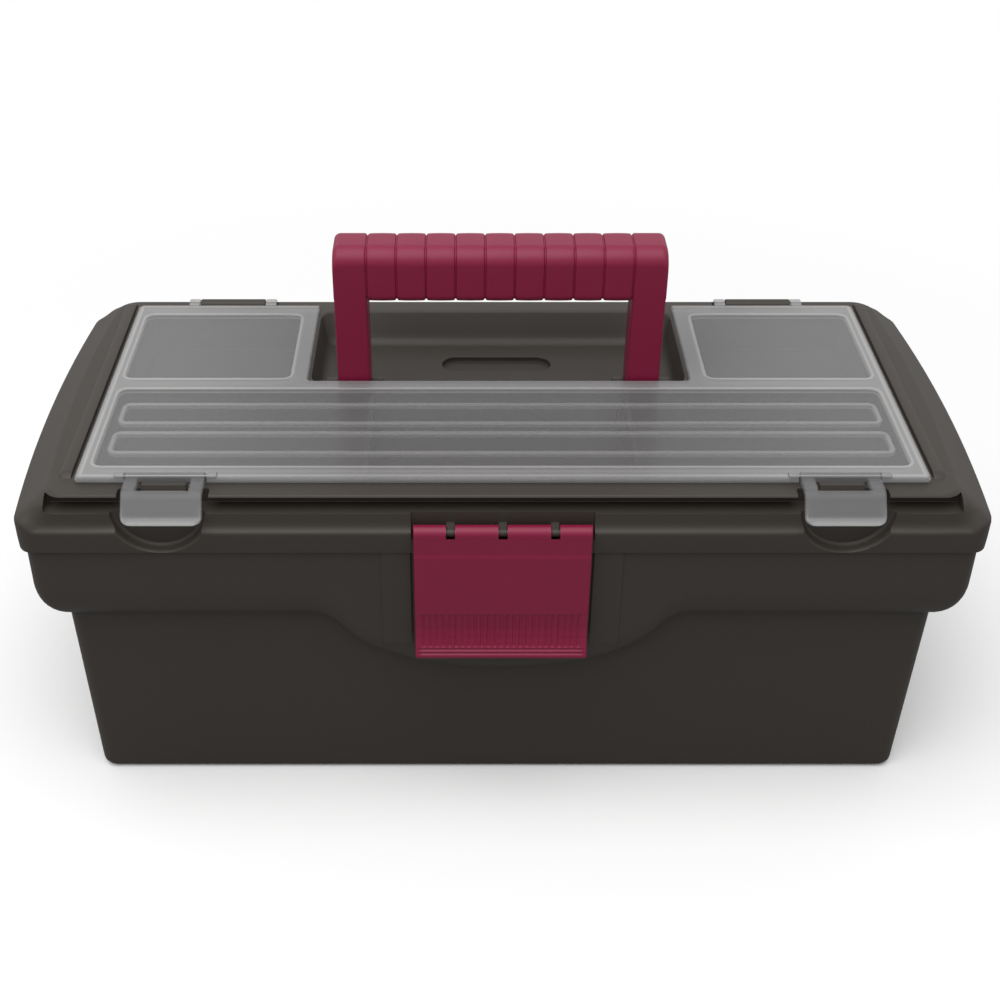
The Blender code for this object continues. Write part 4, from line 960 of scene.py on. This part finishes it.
def grip_section(shrink, drop):
    """The grip's outline: a box with round upper edges, drawn in by shrink all round."""
    front, back = HANDLE_FRONT + shrink, HANDLE_FRONT + GRIP_DEPTH - shrink
    low, high = GRIP_TOP - GRIP_HEIGHT + shrink, GRIP_TOP - shrink - drop
    under, over = 3.0 - shrink, 6.0 - shrink
    return outline(
        arc((back - under, low + under), under, -90, 0, 7),
        arc((back - over, high - over), over, 0, 90, 11),
        arc((front + over, high - over), over, 90, 180, 11),
        arc((front + under, low + under), under, 180, 270, 7),
    )


def grip_shell():
    """The grip carried along X. Each ring between two grooves swells as a parabola, and the ends round off as
    quarter circles."""
    pitch = bpy.context.scene.toolbox_sizes.ring_pitch / MM
    first = -4.5 * pitch
    end_radius = 2.3
    turns = np.radians(np.linspace(0, 90, 9))
    # each row is a place along X, how far the section is drawn in there, and how far its top drops
    end = [(-GRIP_X + end_radius * (1 - math.cos(t)), 0, end_radius * (1 - math.sin(t))) for t in turns]
    rows = [*end, (first - 0.9, 0, 0)]
    for index in range(10):
        groove = first + index * pitch
        for step, bite in ((-0.45, 0.25), (-0.15, 0.75), (0.15, 0.75), (0.45, 0.25)):
            rows.append((groove + step, bite, 0))
        if index < 9:
            for step in (0.9, 2.4, pitch / 2, pitch - 2.4, pitch - 0.9):
                rows.append((groove + step, 0.16 * (2 * step / pitch - 1) ** 2, 0))
    rows += [(0.9 - first, 0, 0), *((-x, shrink, drop) for x, shrink, drop in reversed(end))]
    return loft([in_plane(grip_section(shrink, drop), x, "x") for x, shrink, drop in rows])


def leg_shell(side):
    """A leg: rounded rectangles from the grip down to a round end about the pivot."""
    near, far = GRIP_X - LEG, GRIP_X - 0.02
    front, back = HANDLE_FRONT + 0.02, HANDLE_FRONT + 14.0
    shoulder = HANDLE_AXIS[1] + 8.0
    top = GRIP_TOP - GRIP_HEIGHT / 2
    end = 4.8
    side_view = outline(
        arc(HANDLE_AXIS, end, 190, 350, 17),
        [(back - 0.1, shoulder - 2.5), (back, shoulder), (back, top)],
        [(front, top), (front, shoulder), (front + 0.1, shoulder - 2.5)],
    )
    steps = [(near, 0.9), (near + 0.25, 0.35), (near + 0.9, 0), (far - 0.9, 0), (far - 0.25, 0.35), (far, 0.9)]
    rings = []
    for x, pull in steps:
        shape = side_view.copy()
        shape[:, 0] = HANDLE_AXIS[0] + (shape[:, 0] - HANDLE_AXIS[0]) * (1 - pull / 7.0)
        low = shape[:, 1] < shoulder - 3
        shape[low, 1] = HANDLE_AXIS[1] + (shape[low, 1] - HANDLE_AXIS[1]) * (1 - pull / end)
        rings.append(in_plane(shape, side * x, "x"))
    return loft(rings)


def build_handle():
    handle = make_piece("handle_moulding", [grip_shell()])
    combine(handle, "UNION", [leg_shell(-1), leg_shell(1)])
    finish_piece(handle, finish_of(RASPBERRY), "handle", "raspberry_plastic", "handle")


# ---- Cover ----


def line_height(distance, width, soft=0.3):
    """1 on a line of that width about distance 0, with sloping edges."""
    return smooth_step(width / 2 + soft / 2, width / 2 - soft / 2, np.abs(distance))


def set_milkiness_and_painted_light(piece, values_of):
    """Stores how milky the plastic is at each point, from 0 to 1: from its thickness, and on the cover also from
    light painted towards its ends.
    """
    mesh = piece.data
    points = np.empty(len(mesh.vertices) * 3, np.float32)
    mesh.vertices.foreach_get("co", points)
    points = points.reshape(-1, 3) / MM - (0, SHIFT, 0)
    layer = mesh.attributes.new("thickness", "FLOAT", "POINT")
    layer.data.foreach_set("value", np.clip(values_of(points), 0, 1).astype(np.float32))


def recess_distances(x, y):
    """Distances from the cover's front recess and from the nearer wing's, which are rounded rectangles."""
    front, back = STRIP_BACK + 1.4, COVER_BACK - 8.7
    strip = box_distance(x, y, (-COVER_REACH, COVER_FRONT + 7.9), (COVER_REACH, front - 8.0), 3.0)
    return strip, box_distance(np.abs(x), y, (WING_RECESS, front), (COVER_REACH, back), 3.0)


def outline_height(x, y):
    """1 on the two long rounded outlines in the cover's front recess."""
    width = bpy.context.scene.toolbox_sizes.outline_width / MM
    loops = [
        box_distance(x, y, (-OUTLINE_X, front), (OUTLINE_X, front + OUTLINE_DEPTH), 2.4)
        for front in OUTLINE_FRONTS
    ]
    return np.maximum(*(line_height(loop, width, 0.9) for loop in loops))


def notch_distance(x, y):
    """Distance from the gap that the cover leaves for the handle."""
    return box_distance(x, y, (-COVER_NOTCH, STRIP_BACK), (COVER_NOTCH, COVER_BACK + 50), 1.5)


def cover_grid():
    """The cover's grid lines along X and Y, close together at every edge, bead and outline."""
    half, fine = COVER_WIDTH / 2, 131.0
    offsets = (-1.6, -1.2, -0.85, -0.55, -0.3, -0.12, 0, 0.12, 0.3, 0.55, 0.85, 1.2, 1.6)
    marks = np.array([half, COVER_REACH, OUTLINE_X, COVER_NOTCH, *CLIP_GAP, WING_RECESS])
    x = lines(-half, half, 6.0, np.append(marks, -marks), offsets)
    ends = lines(fine, half, 0.45)
    x = np.unique(np.round(np.concatenate([x[np.abs(x) < fine], ends, -ends]), 3))
    marks = [COVER_FRONT, COVER_BACK, CLIP_GAP_BACK, STRIP_BACK]
    marks += [COVER_FRONT + 7.9, STRIP_BACK - 6.6, STRIP_BACK + 1.4, COVER_BACK - 8.7]
    marks += [front + step for front in OUTLINE_FRONTS for step in (0, OUTLINE_DEPTH)]
    return x, lines(COVER_FRONT, COVER_BACK, 1.6, marks, offsets)


def cover_shell():
    """The cover as a wall over a grid of X and Y, with a flat underside. Its top sinks in three recesses and
    rises at a bead round each and at the outlines."""
    half, corner = COVER_WIDTH / 2, 2.2
    x, y = cover_grid()
    grid_x, grid_y = np.meshgrid(x, y, indexing="ij")
    strip, wings = recess_distances(grid_x, grid_y)
    sunk = smooth_step(0.2, -0.2, np.minimum(strip, wings))
    bead = line_height(strip - 0.6, 1.0) + line_height(wings - 0.6, 1.0)
    gap_near, gap_far = CLIP_GAP
    gaps = box_distance(np.abs(grid_x), grid_y, (gap_near, COVER_FRONT - 50), (gap_far, CLIP_GAP_BACK), 0.01)
    outer = -box_distance(grid_x, grid_y, (-half, COVER_FRONT), (half, COVER_BACK), corner)
    inward = np.minimum(np.minimum(outer, notch_distance(grid_x, grid_y)), gaps)
    top = COVER_HIGH - RECESS * sunk + RECESS * outline_height(grid_x, grid_y) + 0.15 * bead
    top = top - edge_drop(inward, 0.9)
    place_x, place_y = quarter_discs(grid_x, grid_y, half, COVER_BACK, corner)
    upper = np.stack([place_x, place_y, top], -1)
    lower = np.stack([place_x, place_y, np.full_like(top, COVER_LOW)], -1)
    middle_x = np.abs(x[1:] + x[:-1])[:, None] / 2
    middle_y = (y[1:] + y[:-1])[None, :] / 2
    in_notch = (middle_x < COVER_NOTCH) & (middle_y > STRIP_BACK)
    in_gap = (middle_x > gap_near) & (middle_x < gap_far) & (middle_y < CLIP_GAP_BACK)
    return plate(~(in_notch | in_gap), upper, lower)


def cover_ears():
    """Barrels on the cover for the clips' pins at its front and for its own pins at its back."""
    low = COVER_LOW + 0.2
    clip_foot = [(CLIP_AXIS[0] - 1.5, COVER_LOW + 0.3), (CLIP_AXIS[0] + 1.5, COVER_LOW + 0.3)]
    foot = [(COVER_BACK - 2, COVER_HIGH - 0.2), (COVER_BACK - 2, low), (COVER_BACK - 0.1, low - 0.1)]
    shells = []
    for side in (-1, 1):
        for start in (side * CLIP_X + 13.6, side * CLIP_X - 13.6 - CLIP_EAR):
            shells.append(knuckle(CLIP_AXIS, CLIP_BARREL, clip_foot, 0, 180, start, start + CLIP_EAR))
        for start in (side * COVER_HINGE_X + 13.1, side * COVER_HINGE_X - 13.1 - COVER_EAR):
            shells.append(knuckle(COVER_AXIS, COVER_BARREL, foot, -150, 110, start, start + COVER_EAR))
    return shells


def cover_milkiness(points):
    """How white the cover is: clear in its recesses, milky at beads and outlines, and a little more so towards
    its
    ends, which is painted light: its middle is left darker than its ends."""
    x, y, z = points.T
    strip, wings = recess_distances(x, y)
    rim = np.minimum(COVER_WIDTH / 2 - np.abs(x), np.minimum(y - COVER_FRONT, COVER_BACK - y))
    solid = 1 - smooth_step(0.2, -0.2, np.minimum(strip, wings))
    beads = sum(line_height(distance, 1.2) for distance in (strip - 0.6, wings - 0.6, rim - 2.0))
    # Painted light: the cover is drawn milkier, and so lighter, towards its ends, while its middle stays darker.
    painted_light_towards_ends = smooth_step(48, 132, np.abs(x))
    haze = (0.8 + 0.2 * painted_light_towards_ends) * (0.5 * solid + 0.5 * outline_height(x, y) + 0.4 * beads)
    haze += 0.1 * (wings < 0) + 0.16 * painted_light_towards_ends
    face = 1 - smooth_step(0.9, 0.2, np.minimum(rim, np.maximum(notch_distance(x, y), 0)))
    in_ear = (z > COVER_HIGH + 0.15) | (y > COVER_BACK)
    return np.where(in_ear, 0.5, face * haze)


def build_cover():
    cover = make_piece("cover_moulding", [cover_shell()])
    combine(cover, "UNION", cover_ears())
    set_milkiness_and_painted_light(cover, cover_milkiness)
    finish_piece(cover, finish_of(FROSTED), "cover", "frosted_clear_plastic", "organiser_cover")


# ---- Clips ----


def clip_shell(middle):
    """A clip as a wall over a grid of X and length along its side view, with its window left out. A bead
    thickens its lower edge by a cubic ease."""
    bend = np.array([CLIP_AXIS[0] - 9.7, CLIP_TOP])
    turns = ((1.6, 0), (0.5, -0.12), (-0.35, -0.62), (-1.0, -1.35), CLIP_DROP)
    path = outline([(CLIP_AXIS[0] - 1.3, CLIP_TOP)], bend + turns)
    run = np.append(0, np.cumsum(np.hypot(*np.diff(path, axis=0).T)))
    total, half = run[-1], CLIP_WIDTH / 2
    window_back, window_front = 0.3, 7.6
    offsets = (-0.9, -0.6, -0.3, -0.12, 0, 0.12, 0.3, 0.6, 0.9)
    s = lines(0, total, 0.6, [window_back, window_front, total], offsets)
    u = lines(-half, half, 1.2, [-half, half, -CLIP_WINDOW, CLIP_WINDOW], offsets)
    centre = np.stack([np.interp(s, run, column) for column in path.T], -1)
    slope = np.gradient(centre, s, axis=0)
    slope /= np.linalg.norm(slope, axis=1)[:, None]
    grid_u, grid_s = np.meshgrid(u, s, indexing="ij")
    place_u, place_s = quarter_discs(grid_u, grid_s, half, total, 3.2)
    y, z, out_y, out_z = (np.interp(place_s, s, values) for values in (*centre.T, slope[:, 1], -slope[:, 0]))
    window = box_distance(grid_u, grid_s, (-CLIP_WINDOW, window_back), (CLIP_WINDOW, window_front), 0.01)
    inward = np.minimum(np.minimum(half - np.abs(grid_u), total - grid_s), np.maximum(window, 0))
    over = CLIP_SKIN + 0.35 * smooth_step(total - 2.4, total - 1.2, grid_s) - edge_drop(inward, 0.4)
    upper = np.stack([middle + place_u, y + out_y * over, z + out_z * over], -1)
    lower = np.stack([middle + place_u, y - out_y * CLIP_SKIN, z - out_z * CLIP_SKIN], -1)
    middle_u = np.abs(u[1:] + u[:-1])[:, None] / 2
    middle_s = (s[1:] + s[:-1])[None, :] / 2
    keep = ~((middle_u < CLIP_WINDOW) & (middle_s > window_back) & (middle_s < window_front))
    return plate(keep, upper, lower)


def build_clips():
    half, tip = CLIP_WIDTH / 2, CLIP_TOP + CLIP_DROP[1]
    for name, middle in (("clip_left", -CLIP_X), ("clip_right", CLIP_X)):
        clip = make_piece(f"{name}_moulding", [clip_shell(middle)])
        combine(clip, "UNION", [bar(arc(CLIP_AXIS, CLIP_BARREL, 0, 345, 24), middle - half, middle + half)])

        def milkiness(points, middle=middle):
            """How white a clip is: nearly clear above, milky at its sides and at the bead along its foot."""
            x, _, z = points.T
            sides = smooth_step(half - 1.1, half - 0.3, np.abs(x - middle)) * smooth_step(tip + 7, tip + 3, z)
            return 0.1 + 0.25 * sides + 0.75 * smooth_step(tip + 2.4, tip + 1.2, z)

        set_milkiness_and_painted_light(clip, milkiness)
        finish_piece(clip, finish_of(FROSTED), name, "frosted_clear_plastic", name)


# ---- Settings, operators and panel ----


def colour_setting(name, description, code):
    return FloatVectorProperty(name=name, description=description, subtype="COLOR", default=linear(code))


def length_setting(name, description, millimetres):
    default, least = millimetres * MM, 0.5 * MM
    return FloatProperty(name=name, description=description, unit="LENGTH", default=default, min=least)


class ToolboxSizes(bpy.types.PropertyGroup):
    rib_pitch: length_setting("Rib pitch", "Spacing of the ribs near the latch's foot", 2.2)
    ring_pitch: length_setting("Ring pitch", "Spacing of the grooves round the grip", 10.45)
    outline_width: length_setting("Outline width", "Width of the raised outlines on the cover", 1.7)


class ToolboxColours(bpy.types.PropertyGroup):
    charcoal: colour_setting("Charcoal", "Tub and lid", "36312C")
    raspberry: colour_setting("Raspberry", "Handle and latch", "80153A")
    frosted: colour_setting("Frosted", "Clear cover where it is thin", "8A8A8C")
    haze: colour_setting("Haze", "Clear cover where it is thick", "B2B1B0")
    tray: colour_setting("Tray", "Lift-out tray and its dividers", "4A4541")
    steel: colour_setting("Steel", "Hinge pins", "868684")
    floor: colour_setting("Floor", "Studio floor", "FFFFFF")
    card: colour_setting("Card", "Studio floor as it lights the box", "A4A4A4")


class ToolboxStudio(bpy.types.PropertyGroup):
    daylight: FloatProperty(name="Daylight", description="Strength of the white room", default=0.46, min=0)
    key_power: FloatProperty(
        name="Key light", description="Power of the overhead lamp", default=22.0, min=0, unit="POWER"
    )


class TOOLBOX_OT_tub(bpy.types.Operator):
    """Builds the tub with its collar, apron, ledge and hinge barrels"""

    bl_idname = "toolbox.tub"
    bl_label = "Tub"

    def execute(self, context):
        build_tub()
        return {"FINISHED"}


class TOOLBOX_OT_lid(bpy.types.Operator):
    """Builds the lid with its handle pocket, organiser wells, groove and scoops"""

    bl_idname = "toolbox.lid"
    bl_label = "Lid"

    def execute(self, context):
        build_lid()
        return {"FINISHED"}


class TOOLBOX_OT_latch(bpy.types.Operator):
    """Builds the ribbed centre latch"""

    bl_idname = "toolbox.latch"
    bl_label = "Latch"

    def execute(self, context):
        build_latch()
        return {"FINISHED"}


class TOOLBOX_OT_handle(bpy.types.Operator):
    """Builds the handle with its ringed grip"""

    bl_idname = "toolbox.handle"
    bl_label = "Handle"

    def execute(self, context):
        build_handle()
        return {"FINISHED"}


class TOOLBOX_OT_cover(bpy.types.Operator):
    """Builds the clear organiser cover with its beads and outlines"""

    bl_idname = "toolbox.cover"
    bl_label = "Organiser cover"

    def execute(self, context):
        build_cover()
        return {"FINISHED"}


class TOOLBOX_OT_clips(bpy.types.Operator):
    """Builds the two clear clips with their windows"""

    bl_idname = "toolbox.clips"
    bl_label = "Clips"

    def execute(self, context):
        build_clips()
        return {"FINISHED"}


class TOOLBOX_OT_fittings(bpy.types.Operator):
    """Gives the tray, the dividers and the hinge pins their finish"""

    bl_idname = "toolbox.fittings"
    bl_label = "Tray, dividers and pins"

    def execute(self, context):
        for name, node in frame["nodes"].items():
            if node.hide_render:
                continue
            key = WIRE if "pin" in name else CHARCOAL if name.startswith("organiser") else TRAY
            node.data.materials.clear()
            node.data.materials.append(finish_of(key))
        return {"FINISHED"}


class TOOLBOX_OT_stage(bpy.types.Operator):
    """Sets up the pale floor, the soft studio light and the camera"""

    bl_idname = "toolbox.stage"
    bl_label = "Studio"

    def execute(self, context):
        colours, studio = context.scene.toolbox_colours, context.scene.toolbox_studio
        make_floor(colours.floor, colours.card)
        make_world(studio.daylight)
        add_lamp("overhead", (-0.2, -0.5, 1.5), (0, 0, 0.1), 1.8, studio.key_power)
        add_camera((-0.01395, -0.47455, 0.40605), 34.47)
        context.scene.view_settings.view_transform = "Standard"
        return {"FINISHED"}


def make_floor(colour, bounce):
    """A wide pale floor. The camera sees the light on it near the box, and plain white further away. To every
    other ray it is a greyer card, so it throws less light back onto the box."""
    floor = bpy.data.objects.new("floor", bpy.data.meshes.new("floor"))
    reach = 6.0
    corners = [(-reach, -reach, 0), (reach, -reach, 0), (reach, reach, 0), (-reach, reach, 0)]
    floor.data.from_pydata(corners, [], [(0, 1, 2, 3)])
    bpy.context.scene.collection.objects.link(floor)
    material, tree = new_material("pale studio floor")
    place = add_node(tree, "ShaderNodeTexCoord").outputs["Object"]
    distance = add_node(tree, "ShaderNodeVectorMath", {0: place}, operation="LENGTH").outputs["Value"]
    reaches = {"Value": distance, "From Min": 0.16, "From Max": 0.5}
    far = add_node(tree, "ShaderNodeMapRange", reaches).outputs["Result"]
    seen = add_node(tree, "ShaderNodeLightPath").outputs["Is Camera Ray"]
    factor = add_node(tree, "ShaderNodeMath", {0: far, 1: seen}, operation="MULTIPLY").outputs[0]
    card = shades(tree, seen, (*bounce, 1), (*colour, 1))
    lit = add_node(tree, "ShaderNodeBsdfDiffuse", {"Color": card}).outputs[0]
    white = add_node(tree, "ShaderNodeEmission", {"Color": (1, 1, 1, 1), "Strength": 1.0}).outputs[0]
    mixed = add_node(tree, "ShaderNodeMixShader", {0: factor, 1: lit, 2: white}).outputs[0]
    add_node(tree, "ShaderNodeOutputMaterial", {"Surface": mixed})
    floor.data.materials.append(material)


def make_world(strength):
    """A white room: camera, glossy and transmitted rays see plain white, and it lights at a lower strength."""
    world = bpy.data.worlds.new("studio")
    world.use_nodes = True
    tree = world.node_tree
    tree.nodes.clear()
    path = add_node(tree, "ShaderNodeLightPath").outputs
    seen = path["Is Camera Ray"]
    for name in ("Is Glossy Ray", "Is Transmission Ray"):
        seen = add_node(tree, "ShaderNodeMath", {0: seen, 1: path[name]}, operation="MAXIMUM").outputs[0]
    inputs = {"Color": (1, 1, 1, 1), "Strength": spread(tree, seen, strength, 1.0)}
    light = add_node(tree, "ShaderNodeBackground", inputs).outputs[0]
    add_node(tree, "ShaderNodeOutputWorld", {"Surface": light})
    bpy.context.scene.world = world


def add_lamp(name, place, target, size, power):
    """A round soft light at a place, turned towards its target."""
    lamp = bpy.data.lights.new(name, "AREA")
    lamp.shape = "DISK"
    lamp.size = size
    lamp.energy = power
    holder = bpy.data.objects.new(name, lamp)
    holder.location = place
    holder.rotation_euler = (Vector(target) - Vector(place)).to_track_quat("-Z", "Y").to_euler()
    bpy.context.scene.collection.objects.link(holder)


def add_camera(place, down):
    """A camera that looks along Y and down by this many degrees, with its lens moved a little sideways."""
    lens = bpy.data.cameras.new("camera")
    lens.lens = 53.91
    lens.sensor_width = 36
    lens.shift_x = 0.0395
    lens.clip_start = 0.02
    camera = bpy.data.objects.new("camera", lens)
    camera.location = place
    camera.rotation_euler = (math.radians(90 - down), 0, 0)
    bpy.context.scene.collection.objects.link(camera)
    bpy.context.scene.camera = camera


STEPS = (
    TOOLBOX_OT_tub,
    TOOLBOX_OT_lid,
    TOOLBOX_OT_latch,
    TOOLBOX_OT_handle,
    TOOLBOX_OT_cover,
    TOOLBOX_OT_clips,
    TOOLBOX_OT_fittings,
    TOOLBOX_OT_stage,
)


class TOOLBOX_PT_panel(bpy.types.Panel):
    """Lists the settings and the steps that build the toolbox"""

    bl_label = "Toolbox"
    bl_idname = "TOOLBOX_PT_panel"
    bl_space_type = "VIEW_3D"
    bl_region_type = "UI"
    bl_category = "Toolbox"

    def draw(self, context):
        scene = context.scene
        for group in (scene.toolbox_sizes, scene.toolbox_colours, scene.toolbox_studio):
            for name in group.__annotations__:
                self.layout.prop(group, name)
        for step in STEPS:
            self.layout.operator(step.bl_idname)


CLASSES = (ToolboxSizes, ToolboxColours, ToolboxStudio, *STEPS, TOOLBOX_PT_panel)


def register():
    for made in CLASSES:
        bpy.utils.register_class(made)
    bpy.types.Scene.toolbox_sizes = PointerProperty(type=ToolboxSizes)
    bpy.types.Scene.toolbox_colours = PointerProperty(type=ToolboxColours)
    bpy.types.Scene.toolbox_studio = PointerProperty(type=ToolboxStudio)


def unregister():
    del bpy.types.Scene.toolbox_studio
    del bpy.types.Scene.toolbox_colours
    del bpy.types.Scene.toolbox_sizes
    for made in reversed(CLASSES):
        bpy.utils.unregister_class(made)


def main():
    register()
    for step in STEPS:
        group, name = step.bl_idname.split(".")
        getattr(getattr(bpy.ops, group), name)()


if __name__ == "__main__":
    main()
